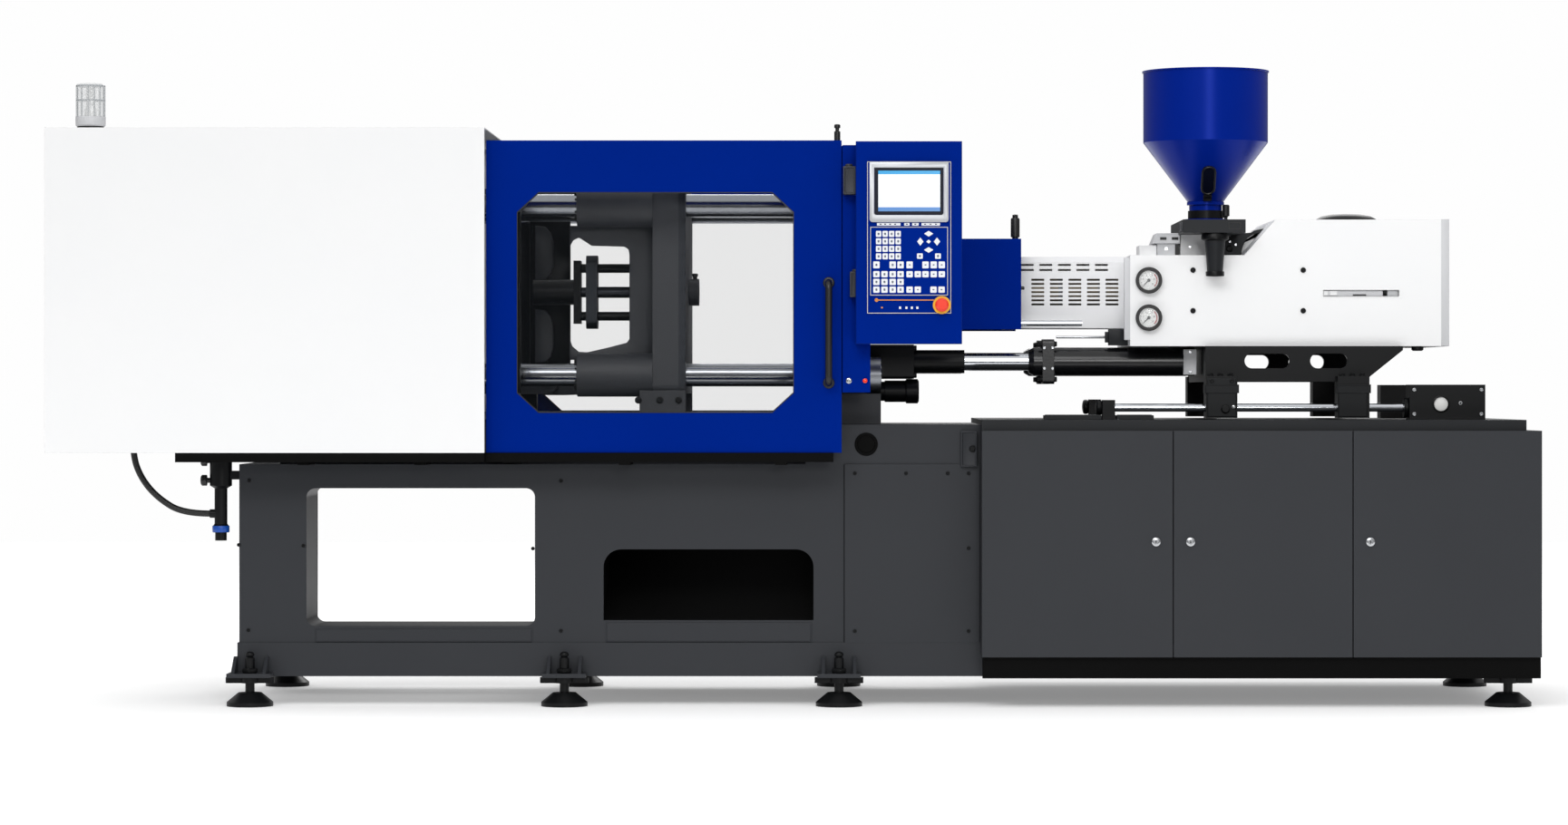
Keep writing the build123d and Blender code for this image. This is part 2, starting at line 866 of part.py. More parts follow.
with BuildPart() as moving_platen:
    platen_plate(moving_back, moving_thickness)
    for y, z in corner_places():
        bar(bush_left, moving_back, y, z, bush_radius)
        bar(bush_left, moving_back, y, z, bar_radius + running, mode=Mode.SUBTRACT)
    for level in (-1, 1):
        pin_x, pin_z = toggle_pin(front_pin_x, level)
        for hand in (-1, 1):
            # lug plate, from the back of the platen to the toggle pin
            layer_back = max(hand * inner_layer[0], hand * inner_layer[1])
            with BuildSketch(front(layer_back)):
                outline_face((
                    (moving_back, clamp_axis + level * (lug_outer - moving_lug_root)),
                    (moving_back, clamp_axis + level * lug_outer),
                    (pin_x + moving_lug_neck, pin_z + level * eye_radius),
                    (pin_x, pin_z + level * eye_radius),
                    (pin_x, pin_z - level * eye_radius),
                    (pin_x + moving_lug_neck, pin_z - level * eye_radius),
                    (moving_back - moving_lug_knee,
                     clamp_axis + level * (lug_outer - moving_lug_root + moving_lug_knee_rise)),
                ))
                with Locations((pin_x, pin_z)):
                    Circle(eye_radius)
            extrude(amount=inner_layer[1] - inner_layer[0])
            # web that ties the lug plate to the tie bar bushes
            web_inner = inner_layer[0] + lug_web_lap
            web_outer = bar_spacing / 2 - bush_radius + lug_web_lap
            web = sorted((hand * web_inner, hand * web_outer))
            web_low, web_high = sorted((level * lug_web_rise, level * (lug_web_rise + lug_web_height)))
            block(bush_left + lug_web_start, moving_back, web[0], web[1], clamp_axis + web_low,
                  clamp_axis + web_high)
        pin_pair((pin_x, pin_z), inner_layer[0], outer_layer[1] + pin_head, main_pin_radius)
    # ejector opening with its boss on the mould face
    bar(moving_face, moving_face + boss_length, 0, clamp_axis, boss_radius)
    bar(moving_back, moving_face + boss_length, 0, clamp_axis, knock_out_radius + running, mode=Mode.SUBTRACT)
    mould_bolt_holes(moving_face, -mould_bolt_depth)
    mirrored_blocks(moving_back - moving_foot_heel, moving_face, rail_strip_inner, rail_strip_outer,
                    rail_strip_top + seat_gap, platen_bottom + platen_foot_lap)
    # feet must not close the lower tie bar bores
    for y, z in corner_places():
        bar(bush_left, moving_face, y, z, bar_radius + running, mode=Mode.SUBTRACT)
moving_platen.part.label = "moving_platen"
export_step(moving_platen.part, "parts/moving_platen.step")

with BuildPart() as tail_platen:
    platen_plate(tail_back, tail_thickness)
    bar(tail_back, tail_face, 0, clamp_axis, piston_rod_radius + rod_room, mode=Mode.SUBTRACT)
    for level in (-1, 1):
        pin_x, pin_z = toggle_pin(tail_pin_x, level)
        for hand in (-1, 1):
            layer_back = max(hand * outer_layer[0], hand * outer_layer[1])
            with BuildSketch(front(layer_back)):
                outline_face((
                    (tail_face, clamp_axis + level * (lug_outer - tail_lug_root)),
                    (tail_face, clamp_axis + level * lug_outer),
                    (pin_x, pin_z + level * eye_radius),
                    (pin_x, pin_z - level * eye_radius),
                ))
                with Locations((pin_x, pin_z)):
                    Circle(eye_radius)
            extrude(amount=outer_layer[1] - outer_layer[0])
        pin_pair((pin_x, pin_z), inner_layer[0] - pin_head, outer_layer[1], main_pin_radius)
        bar(tail_face, guide_tip, 0, clamp_axis + level * guide_offset, guide_radius)
    mirrored_blocks(tail_back, tail_face, rail_strip_inner, rail_strip_outer, rail_strip_top + seat_gap,
                    platen_bottom + platen_foot_lap)
    for y, z in corner_places():
        bar(tail_back, tail_face, y, z, bar_radius + running, mode=Mode.SUBTRACT)
tail_platen.part.label = "tail_platen"
export_step(tail_platen.part, "parts/tail_platen.step")

# Clamp cylinder: tube with two caps, bolted behind the tail platen
with BuildPart() as clamp_cylinder:
    turned_along_x((
        (clamp_cylinder_left, 0),
        (clamp_cylinder_left, clamp_cylinder_radius + clamp_cap_rim),
        (clamp_cylinder_left + clamp_cap_length, clamp_cylinder_radius + clamp_cap_rim),
        (clamp_cylinder_left + clamp_cap_length, clamp_cylinder_radius),
        (tail_back - clamp_cap_length, clamp_cylinder_radius),
        (tail_back - clamp_cap_length, clamp_cylinder_radius + clamp_flange_rim),
        (tail_back, clamp_cylinder_radius + clamp_flange_rim),
        (tail_back, piston_rod_radius + running),
        (tail_back - clamp_cap_length, piston_rod_radius + running),
        (tail_back - clamp_cap_length, clamp_cylinder_bore),
        (clamp_cylinder_left + clamp_cap_length, clamp_cylinder_bore),
        (clamp_cylinder_left + clamp_cap_length, 0),
    ), 0, clamp_axis)
clamp_cylinder.part.label = "clamp_cylinder"
export_step(clamp_cylinder.part, "parts/clamp_cylinder.step")


# Toggle links: pairs of slot-shaped plates with their pins

def link_plates(start, end, half_width, layer, bores):
    """Two like plates between two pins, one each side of the centre plane, with bores at given places."""
    middle = ((start[0] + end[0]) / 2, (start[1] + end[1]) / 2)
    for hand in (-1, 1):
        with BuildSketch(front(max(hand * layer[0], hand * layer[1]))) as plate:
            SlotCenterPoint(middle, end, 2 * half_width)
            for place, radius in bores:
                with Locations(place):
                    Circle(radius, mode=Mode.SUBTRACT)
        extrude(plate.sketch, amount=layer[1] - layer[0])


for level, level_name in ((1, "upper"), (-1, "lower")):
    tail_pin = toggle_pin(tail_pin_x, level)
    elbow_pin = toggle_pin(elbow_pin_x, level)
    front_pin = toggle_pin(front_pin_x, level)
    bend_pin = crosshead_bend(level)
    crosshead_pin = toggle_pin(crosshead_x, level)

    with BuildPart() as rear_link:
        link_plates(tail_pin, elbow_pin, link_half_width, inner_layer, ((tail_pin, main_pin_radius + running),))
        pin_pair(elbow_pin, inner_layer[0], outer_layer[1] + pin_head, elbow_pin_radius)
        pin_pair(bend_pin, crosshead_layer[0], inner_layer[0], crosshead_pin_radius)
    rear_link.part.label = f"{level_name}_rear_link"
    export_step(rear_link.part, f"parts/{level_name}_rear_link.step")

    with BuildPart() as front_link:
        link_plates(elbow_pin, front_pin, link_half_width, outer_layer,
                    ((elbow_pin, elbow_pin_radius + running), (front_pin, main_pin_radius + running)))
    front_link.part.label = f"{level_name}_front_link"
    export_step(front_link.part, f"parts/{level_name}_front_link.step")

    with BuildPart() as crosshead_link:
        link_plates(bend_pin, crosshead_pin, crosshead_link_half, crosshead_layer,
                    ((bend_pin, crosshead_pin_radius + running), (crosshead_pin, crosshead_pin_radius + running)))
    crosshead_link.part.label = f"{level_name}_crosshead_link"
    export_step(crosshead_link.part, f"parts/{level_name}_crosshead_link.step")

# Crosshead: an upright bar on two guides, with the piston rod of the clamp cylinder
with BuildPart() as crosshead:
    with BuildSketch(front(crosshead_half_thickness)):
        rectangle(crosshead_x - crosshead_half_length, crosshead_x + crosshead_half_length,
                  clamp_axis - toggle_offset, clamp_axis + toggle_offset)
        with Locations(toggle_pin(crosshead_x, 1), toggle_pin(crosshead_x, -1)):
            Circle(crosshead_half_length)
    extrude(amount=2 * crosshead_half_thickness)
    for level in (-1, 1):
        guide_z = clamp_axis + level * guide_offset
        bar(crosshead_x - crosshead_half_length, crosshead_x + crosshead_half_length, 0, guide_z,
            guide_radius * 2)
        bar(crosshead_x - crosshead_half_length, crosshead_x + crosshead_half_length, 0, guide_z,
            guide_radius + running, mode=Mode.SUBTRACT)
        place = toggle_pin(crosshead_x, level)
        cross_bar(place[0], -crosshead_layer[1], crosshead_layer[1], place[1], crosshead_pin_radius)
    turned_along_x((
        (crosshead_x + crosshead_half_length, 0),
        (crosshead_x + crosshead_half_length, piston_rod_radius + crosshead_hub_wall),
        (crosshead_x - crosshead_half_length, piston_rod_radius + crosshead_hub_wall),
        (crosshead_x - crosshead_half_length, piston_rod_radius),
        (piston_rod_end, piston_rod_radius),
        (piston_rod_end, clamp_cylinder_bore - running),
        (piston_rod_end - piston_length, clamp_cylinder_bore - running),
        (piston_rod_end - piston_length, 0),
    ), 0, clamp_axis)
crosshead.part.label = "crosshead"
export_step(crosshead.part, "parts/crosshead.step")

# Ejector: a cylinder carried on two stay bars, and the plate that it pushes along them
with BuildPart() as ejector_cylinder:
    bar(ejector_left, ejector_flange[0], 0, clamp_axis, ejector_radius)
    block(*ejector_flange, -ejector_flange_half_width, ejector_flange_half_width,
          clamp_axis - ejector_flange_half_height, clamp_axis + ejector_flange_half_height)
    bar(ejector_rod_end - ejector_rod_room, ejector_flange[1], 0, clamp_axis, ejector_rod_radius + running,
        mode=Mode.SUBTRACT)
    for level in (-1, 1):
        bar(ejector_flange[1], moving_back, 0, clamp_axis + level * stay_offset, stay_radius)
ejector_cylinder.part.label = "ejector_cylinder"
export_step(ejector_cylinder.part, "parts/ejector_cylinder.step")

with BuildPart() as ejector_plate:
    with BuildSketch(side(ejector_plate_x[0])):
        with Locations((0, clamp_axis)):
            RectangleRounded(2 * ejector_plate_half_width, 2 * ejector_plate_half_height, platen_corner)
            with GridLocations(1, 2 * stay_offset, 1, 2):
                Circle(stay_radius + running, mode=Mode.SUBTRACT)
    extrude(amount=ejector_plate_x[1] - ejector_plate_x[0])
    bar(ejector_rod_end, ejector_plate_x[0], 0, clamp_axis, ejector_rod_radius)
    bar(ejector_plate_x[1], knock_out_tip, 0, clamp_axis, knock_out_radius)
ejector_plate.part.label = "ejector_plate"
export_step(ejector_plate.part, "parts/ejector_plate.step")

# Clamp cover: folded sheet, open below and towards the doors, standing on the door rails
with BuildPart() as clamp_cover:
    block(cover_left, cover_right, -cover_half_width, cover_half_width, door_bottom, cover_top)
    block(cover_left + cover_sheet, cover_right, cover_sheet - cover_half_width, cover_half_width - cover_sheet,
          door_bottom, cover_top - cover_sheet, mode=Mode.SUBTRACT)
    # bracket inside the cover for the hose's upper end
    block(hose_route[0][0] - hose_bracket_half, hose_route[0][0] + hose_bracket_half,
          cover_sheet - cover_half_width, hose_route[0][1] + hose_bracket_half, hose_route[0][2],
          hose_route[0][2] + hose_bracket_thickness)
clamp_cover.part.label = "clamp_cover"
export_step(clamp_cover.part, "parts/clamp_cover.step")

# Lower rails of the two safety doors, on arms from the bed, with a ledge that carries the clamp cover
with BuildPart() as door_rails:
    mirrored_blocks(rail_beam_left, rail_beam_right, rail_beam_inner, rail_beam_outer, rail_beam_bottom,
                    door_bottom - seat_gap)
    mirrored_blocks(rail_beam_left, cover_right, rail_beam_outer, cover_half_width, rail_beam_bottom, door_bottom)
    for arm_x in rail_arms:
        mirrored_blocks(arm_x, arm_x + rail_arm_width, bed_half_width - rail_arm_seat, rail_beam_outer, bed_top,
                        rail_beam_bottom)
door_rails.part.label = "door_rails"
export_step(door_rails.part, "parts/door_rails.step")


# Safety doors: folded pans with a chamfered window

def window_points(grow):
    """The window's eight corners, grown all round by a margin."""
    left, right = window_left - grow, window_right + grow
    low, high = window_bottom - grow, window_top + grow
    cut_x, cut_z = window_chamfer
    return (
        (left + cut_x, low), (right - cut_x, low), (right, low + cut_z), (right, high - cut_z),
        (right - cut_x, high), (left + cut_x, high), (left, high - cut_z), (left, low + cut_z),
    )


for hand, side_name in ((-1, "front"), (1, "rear")):
    with BuildPart() as safety_door:
        with BuildSketch(front(hand * guard_outer)):
            rectangle(door_left, door_right, door_bottom, door_top)
        extrude(amount=hand * guard_depth)
        with BuildSketch(front(hand * (guard_outer - guard_sheet))):
            rectangle(door_left + guard_sheet, door_right - guard_sheet, door_bottom + guard_sheet,
                      door_top - guard_sheet)
        extrude(amount=hand * (guard_depth - guard_sheet), mode=Mode.SUBTRACT)
        with BuildSketch(front(hand * guard_outer)):
            outline_face(window_points(0))
        extrude(amount=hand * guard_sheet, mode=Mode.SUBTRACT)
    safety_door.part.label = f"{side_name}_door"
    export_step(safety_door.part, f"parts/{side_name}_door.step")

    with BuildPart() as door_pane:
        with BuildSketch(front(hand * (guard_outer - guard_sheet))):
            outline_face(window_points(pane_lap))
        extrude(amount=hand * pane_thickness)
    door_pane.part.label = f"{side_name}_pane"
    export_step(door_pane.part, f"parts/{side_name}_pane.step")

# Front door handle: one bent bar
with BuildPart() as front_handle:
    with BuildLine():
        FilletPolyline(
            (handle_x, -guard_outer, handle_bottom),
            (handle_x, -guard_outer - handle_reach, handle_bottom),
            (handle_x, -guard_outer - handle_reach, handle_top),
            (handle_x, -guard_outer, handle_top),
            radius=handle_bend,
        )
    with BuildSketch(front(-guard_outer)):
        with Locations((handle_x, handle_bottom)):
            Circle(handle_radius)
    sweep()
front_handle.part.label = "front_handle"
export_step(front_handle.part, "parts/front_handle.step")

# Fixed guards beside the stationary platen, each on two stays
with BuildPart() as fixed_guards:
    for hand in (-1, 1):
        with BuildSketch(front(hand * guard_outer)):
            rectangle(fixed_guard_left, fixed_guard_right, fixed_guard_bottom, fixed_guard_top)
        extrude(amount=hand * guard_depth)
        with BuildSketch(front(hand * (guard_outer - guard_sheet))):
            rectangle(fixed_guard_left + guard_sheet, fixed_guard_right - guard_sheet,
                      fixed_guard_bottom + guard_sheet, fixed_guard_top - guard_sheet)
        extrude(amount=hand * (guard_depth - guard_sheet), mode=Mode.SUBTRACT)
    stay_x = (fixed_guard_left + fixed_back) / 2
    for stay_z in guard_stay_places:
        mirrored_blocks(stay_x - guard_stay_half, stay_x + guard_stay_half, platen_size / 2,
                        guard_outer - guard_sheet, stay_z - guard_stay_half, stay_z + guard_stay_half)
fixed_guards.part.label = "fixed_guards"
export_step(fixed_guards.part, "parts/fixed_guards.step")

# Signal lamp: base and neck in one turned piece, lens on top
lens_bottom = cover_top + lamp_neck_height + lamp_base_height
with BuildPart() as lamp_base:
    turned_along_z((
        (0, cover_top),
        (lamp_neck_radius, cover_top),
        (lamp_neck_radius, cover_top + lamp_neck_height),
        (lamp_base_radius, cover_top + lamp_neck_height),
        (lamp_lens_radius, cover_top + lamp_neck_height + lamp_base_bevel),
        (lamp_lens_radius, lens_bottom),
        (0, lens_bottom),
    ), lamp_x, lamp_y)
lamp_base.part.label = "lamp_base"
export_step(lamp_base.part, "parts/lamp_base.step")

with BuildPart() as lamp_lens:
    turned_along_z((
        (0, lens_bottom),
        (lamp_lens_radius - lamp_lens_step, lens_bottom),
        (lamp_lens_radius - lamp_lens_step, lens_bottom + lamp_lens_height - lamp_lens_bevel),
        (lamp_lens_radius - lamp_lens_step - lamp_lens_bevel, lens_bottom + lamp_lens_height),
        (0, lens_bottom + lamp_lens_height),
    ), lamp_x, lamp_y)
lamp_lens.part.label = "lamp_lens"
export_step(lamp_lens.part, "parts/lamp_lens.step")

# Control box with its panel, screen, keypad and emergency stop
with BuildPart() as control_box:
    block(box_left, box_right, box_front, box_back, box_bottom, box_top)
    chamfer(control_box.faces().sort_by(Axis.Y)[0].edges(), length=box_edge)
    cross_bar(stop_x, box_front, box_front + 2 * stop_collar_thickness, stop_z, stop_neck_radius + running,
              mode=Mode.SUBTRACT)
control_box.part.label = "control_box"
export_step(control_box.part, "parts/control_box.step")

with BuildPart() as control_panel:
    with BuildSketch(front(box_front)):
        rectangle(panel_plate_left, panel_plate_right, panel_plate_bottom, panel_plate_top)
    extrude(amount=panel_plate_thickness)
    with BuildSketch(front(plate_face)):
        rectangle(bezel_left, bezel_right, bezel_bottom, bezel_top)
        rectangle(screen_left, screen_right, screen_bottom, screen_top, mode=Mode.SUBTRACT)
    extrude(amount=bezel_thickness)
    cross_bar(stop_x, plate_face - stop_collar_thickness, plate_face, stop_z, stop_collar_radius)
    cross_bar(stop_x, plate_face - stop_collar_thickness, box_front, stop_z, stop_neck_radius + running,
              mode=Mode.SUBTRACT)
control_panel.part.label = "control_panel"
export_step(control_panel.part, "parts/control_panel.step")

with BuildPart() as screen:
    with BuildSketch(front(plate_face)):
        rectangle(screen_left, screen_right, screen_bottom, screen_top)
    extrude(amount=bezel_thickness - screen_recess)
screen.part.label = "screen"
export_step(screen.part, "parts/screen.step")

with BuildPart() as keypad:
    with BuildSketch(front(plate_face)):
        rectangle(bezel_left, bezel_right, keypad_bottom, keypad_top)
    extrude(amount=keypad_thickness)
keypad.part.label = "keypad"
export_step(keypad.part, "parts/keypad.step")

with BuildPart() as emergency_stop:
    cross_bar(stop_x, stop_front, stop_front + stop_head_thickness, stop_z, stop_head_radius)
    chamfer(emergency_stop.edges().filter_by(GeomType.CIRCLE).sort_by(Axis.Y)[0], length=box_edge * 2)
    cross_bar(stop_x, stop_front + stop_head_thickness, box_front + stop_collar_thickness, stop_z,
              stop_neck_radius)
emergency_stop.part.label = "emergency_stop"
export_step(emergency_stop.part, "parts/emergency_stop.step")

# Guide rods: two long ones for the carriage, two short ones for the nozzle guard
with BuildPart() as guide_rods:
    for hand in (-1, 1):
        bar(front_bracket[1], rear_bracket[0], hand * guide_rod_y, guide_rod_z, guide_rod_radius)
        bar(fixed_back, guard_rod_right, hand * guard_rod_y, guard_rod_z, guard_rod_radius)
guide_rods.part.label = "guide_rods"
export_step(guide_rods.part, "parts/guide_rods.step")

# Brackets that hold the carriage's guide rods on the table, and the anchors of the carriage rods on the platen
with BuildPart() as rod_brackets:
    for hand in (-1, 1):
        anchor = hand * cylinder_y
        with BuildSketch(side(fixed_back)):
            with Locations((anchor, cylinder_z)):
                RectangleRounded(rod_anchor_width, rod_anchor_height, rod_anchor_corner)
        extrude(amount=rod_sleeve[0] - fixed_back)
        turned_along_x((
            (rod_sleeve[0], 0),
            (rod_sleeve[0], rod_sleeve_radius),
            (rod_sleeve[1], rod_sleeve_radius),
            (rod_sleeve[1], carriage_rod_radius),
            (rod_sleeve[0] + rod_seat, carriage_rod_radius),
            (rod_sleeve[0] + rod_seat, 0),
        ), anchor, cylinder_z)
        centre = hand * guide_rod_y
        block(*front_bracket, centre - front_bracket_half, centre + front_bracket_half, table_top,
              guide_rod_z + front_bracket_half)
        with BuildSketch(front(centre + rear_bracket_half)):
            rectangle(*rear_bracket, table_top, rear_bracket_top)
            with Locations((rear_bracket_hole_x, guide_rod_z + rear_bracket_hole_rise)):
                Circle(rear_bracket_hole_radius, mode=Mode.SUBTRACT)
        extrude(amount=2 * rear_bracket_half)
rod_brackets.part.label = "rod_brackets"
export_step(rod_brackets.part, "parts/rod_brackets.step")

# Carriage: two slotted side plates under a deck, slide blocks on the rods, and the barrel seat with its throat
with BuildPart() as carriage_frame:
    for hand in (-1, 1):
        with BuildSketch(front(max(hand * carriage_plate_inner, hand * carriage_plate_outer))):
            outline_face((
                (carriage_left, carriage_bottom), (carriage_slope_x, carriage_bottom),
                (carriage_right, carriage_top - carriage_deck), (carriage_right, carriage_top),
                (carriage_left, carriage_top),
            ))
            for slot in carriage_slots:
                with Locations(((slot[0] + slot[1]) / 2, (carriage_slot_bottom + carriage_slot_top) / 2)):
                    SlotOverall(slot[1] - slot[0], carriage_slot_top - carriage_slot_bottom, mode=Mode.SUBTRACT)
        extrude(amount=carriage_plate_outer - carriage_plate_inner)
    block(carriage_left, carriage_right, -carriage_plate_outer, carriage_plate_outer,
          carriage_top - carriage_deck, carriage_top)
    block(carriage_left, carriage_left + bed_wall, -carriage_plate_inner, carriage_plate_inner, carriage_bottom,
          carriage_top)
    for block_x in slide_blocks:
        mirrored_blocks(*block_x, carriage_plate_inner, slide_block_outer, slide_block_bottom,
                        carriage_bottom + slide_block_lap)
        for hand in (-1, 1):
            bar(*block_x, hand * guide_rod_y, guide_rod_z, guide_rod_radius + running, mode=Mode.SUBTRACT)
    # barrel seat and throat
    block(barrel_seat_left, throat_right, -throat_half_width, throat_half_width, carriage_top, barrel_seat_top)
    block(throat_left, throat_right, -throat_half_width, throat_half_width, barrel_seat_top, throat_top)
    bar(barrel_seat_left, throat_right, 0, clamp_axis, barrel_radius, mode=Mode.SUBTRACT)
    upright(hopper_x, 0, clamp_axis, throat_top, throat_radius, mode=Mode.SUBTRACT)
    # the two injection cylinders, in line with the barrel on either side
    for hand in (-1, 1):
        web = sorted((hand * throat_half_width, hand * injection_cylinder_y))
        block(injection_cylinder_left, throat_right, web[0], web[1], clamp_axis - injection_web_half,
              clamp_axis + injection_web_half)
        bar(injection_cylinder_left, injection_cylinder_end, hand * injection_cylinder_y, clamp_axis,
            injection_cylinder_radius)
        bar(injection_rod_start - injection_rod_room, injection_cylinder_end, hand * injection_cylinder_y,
            clamp_axis, injection_rod_radius + running, mode=Mode.SUBTRACT)
carriage_frame.part.label = "carriage_frame"
export_step(carriage_frame.part, "parts/carriage_frame.step")

# Carriage cylinders: tubes with a domed gland and a square flange, held at their right ends
with BuildPart() as carriage_cylinders:
    for hand in (-1, 1):
        centre = hand * cylinder_y
        turned_along_x((
            (cylinder_gland, carriage_rod_radius + running),
            (cylinder_gland, carriage_rod_radius + gland_lip),
            (cylinder_gland + gland_bevel, cylinder_radius),
            (cylinder_right, cylinder_radius),
            (cylinder_right, 0),
            (carriage_rod_end + carriage_rod_room, 0),
            (carriage_rod_end + carriage_rod_room, carriage_rod_radius + running),
        ), centre, cylinder_z)
        with BuildSketch(side(cylinder_left - cylinder_flange_thickness)):
            with Locations((centre, cylinder_z)):
                RectangleRounded(2 * cylinder_radius, cylinder_flange, cylinder_flange_corner)
                Circle(cylinder_radius, mode=Mode.SUBTRACT)
        extrude(amount=cylinder_flange_thickness)
        block(cylinder_right, carriage_left, centre - cylinder_foot_half_width, centre + cylinder_foot_half_width,
              cylinder_z - cylinder_foot_half_height, cylinder_z + cylinder_foot_half_height)
carriage_cylinders.part.label = "carriage_cylinders"
export_step(carriage_cylinders.part, "parts/carriage_cylinders.step")

# Carriage rods, each held in the sleeve of its anchor
with BuildPart() as carriage_rods:
    for hand in (-1, 1):
        bar(rod_sleeve[0] + rod_seat, carriage_rod_end, hand * cylinder_y, cylinder_z, carriage_rod_radius)
carriage_rods.part.label = "carriage_rods"
export_step(carriage_rods.part, "parts/carriage_rods.step")

# Barrel with its nozzle, bored for the screw and open below the throat
with BuildPart() as barrel:
    turned_along_x((
        (nozzle_tip, nozzle_bore_radius),
        (nozzle_tip, nozzle_radius - nozzle_bevel),
        (nozzle_tip + nozzle_bevel, nozzle_radius),
        (nozzle_tip + nozzle_length, nozzle_radius),
        (nozzle_tip + nozzle_length, barrel_radius - barrel_bevel),
        (barrel_left, barrel_radius),
        (throat_right, barrel_radius),
        (throat_right, screw_radius + running),
        (screw_tip - screw_tip_room, screw_radius + running),
        (nozzle_tip + nozzle_length, nozzle_bore_radius),
    ), 0, clamp_axis)
    upright(hopper_x, 0, clamp_axis, clamp_axis + barrel_radius, screw_radius, mode=Mode.SUBTRACT)
barrel.part.label = "barrel"
export_step(barrel.part, "parts/barrel.step")

# Heater bands round the barrel
with BuildPart() as heater_bands:
    for heater_x in heater_places:
        turned_along_x((
            (heater_x, barrel_radius),
            (heater_x, barrel_radius + heater_thickness),
            (heater_x + heater_length, barrel_radius + heater_thickness),
            (heater_x + heater_length, barrel_radius),
        ), 0, clamp_axis)
heater_bands.part.label = "heater_bands"
export_step(heater_bands.part, "parts/heater_bands.step")

# Screw: pointed tip, long core and a shank into the thrust plate
with BuildPart() as screw:
    turned_along_x((
        (screw_tip, 0),
        (screw_tip + screw_point_length, screw_radius - screw_ring_step),
        (screw_tip + screw_point_length, screw_radius),
        (thrust_left + thrust_thickness / 2, screw_radius),
        (thrust_left + thrust_thickness / 2, 0),
    ), 0, clamp_axis)
screw.part.label = "screw"
export_step(screw.part, "parts/screw.step")

# Thrust unit: plate with hydraulic motor, piston rods of the injection cylinders and the stroke pointer
with BuildPart() as thrust_unit:
    with BuildSketch(side(thrust_left)):
        with Locations((0, clamp_axis)):
            RectangleRounded(2 * thrust_half_width, 2 * thrust_half_height, platen_corner)
            Circle(screw_radius + running, mode=Mode.SUBTRACT)
    extrude(amount=thrust_thickness / 2)
    with BuildSketch(side(thrust_left + thrust_thickness / 2)):
        with Locations((0, clamp_axis)):
            RectangleRounded(2 * thrust_half_width, 2 * thrust_half_height, platen_corner)
    extrude(amount=thrust_thickness / 2)
    bar(thrust_right, thrust_right + motor_length, 0, clamp_axis, motor_radius)
    for hand in (-1, 1):
        bar(injection_rod_start, thrust_left, hand * injection_cylinder_y, clamp_axis, injection_rod_radius)
    block(pointer_x, pointer_x + pointer_thickness, -housing_half_width - pointer_reach, -thrust_half_width,
          pointer_z - pointer_half_height, pointer_z + pointer_half_height)
thrust_unit.part.label = "thrust_unit"
export_step(thrust_unit.part, "parts/thrust_unit.step")


# Injection housing: folded sheet over the drive, open below, with a stepped top and a scale slot

def housing_side(inset):
    """Side outline of the housing, or of its hollow when set in by the sheet."""
    bottom = carriage_top
    return (
        (housing_left + inset, bottom), (housing_right - inset, bottom),
        (housing_right - inset, housing_high_top - inset), (housing_slope[1] + inset / 2, housing_high_top - inset),
        (housing_slope[0] + inset / 2, housing_low_top - inset), (housing_left + inset, housing_low_top - inset),
    )


with BuildPart() as injection_housing:
    with BuildSketch(Plane.XZ):
        outline_face(housing_side(0))
    extrude(amount=housing_half_width, both=True)
    with BuildSketch(Plane.XZ):
        outline_face(housing_side(housing_sheet))
    extrude(amount=housing_half_width - housing_sheet, both=True, mode=Mode.SUBTRACT)
    bar(housing_left, housing_left + housing_sheet, 0, clamp_axis, barrel_radius + housing_bore_room,
        mode=Mode.SUBTRACT)
    block(barrel_seat_left - throat_clearance, throat_right, -throat_half_width - throat_clearance,
          throat_half_width + throat_clearance, housing_low_top - housing_sheet, housing_low_top,
          mode=Mode.SUBTRACT)
    block(*scale_slot, -housing_half_width, housing_sheet - housing_half_width, scale_slot_bottom,
          scale_slot_top, mode=Mode.SUBTRACT)
injection_housing.part.label = "injection_housing"
export_step(injection_housing.part, "parts/injection_housing.step")

# Pressure gauges: two cups with a raised rim, and their needles
gauge_face = -housing_half_width
with BuildPart() as pressure_gauges:
    for gauge_z in gauge_heights:
        cross_bar(gauge_x, gauge_face - gauge_depth, gauge_face, gauge_z, gauge_radius)
        cross_bar(gauge_x, gauge_face - gauge_depth, gauge_face - gauge_depth + gauge_dial_recess, gauge_z,
                  gauge_radius - gauge_rim, mode=Mode.SUBTRACT)
pressure_gauges.part.label = "pressure_gauges"
export_step(pressure_gauges.part, "parts/pressure_gauges.step")

needle_back = gauge_face - gauge_depth + gauge_dial_recess - seat_gap
for gauge_z, level_name in zip(gauge_heights, ("upper", "lower")):
    with BuildPart() as needle:
        with BuildSketch(front(needle_back)):
            with Locations((gauge_x, gauge_z)):
                Circle(needle_width)
            with BuildLine():
                Polyline(
                    (gauge_x - needle_width / 2, gauge_z + needle_width / 2),
                    (gauge_x + needle_width / 2, gauge_z - needle_width / 2),
                    (gauge_x - needle_length * cos(radians(45)), gauge_z - needle_length * sin(radians(45))),
                    close=True,
                )
            make_face()
        extrude(amount=needle_thickness)
    needle.part.label = f"{level_name}_needle"
    export_step(needle.part, f"parts/{level_name}_needle.step")


# Barrel cover: folded sheet with bevelled top edges, pierced by rows of slots

def cover_section(inset):
    """End outline of the barrel cover, or of its hollow when set in by the sheet."""
    half = barrel_cover_half - inset
    top = barrel_cover_top - inset
    return (
        (-half, barrel_cover_bottom), (half, barrel_cover_bottom), (half, top - barrel_cover_bevel),
        (half - barrel_cover_bevel, top), (barrel_cover_bevel - half, top), (-half, top - barrel_cover_bevel),
    )


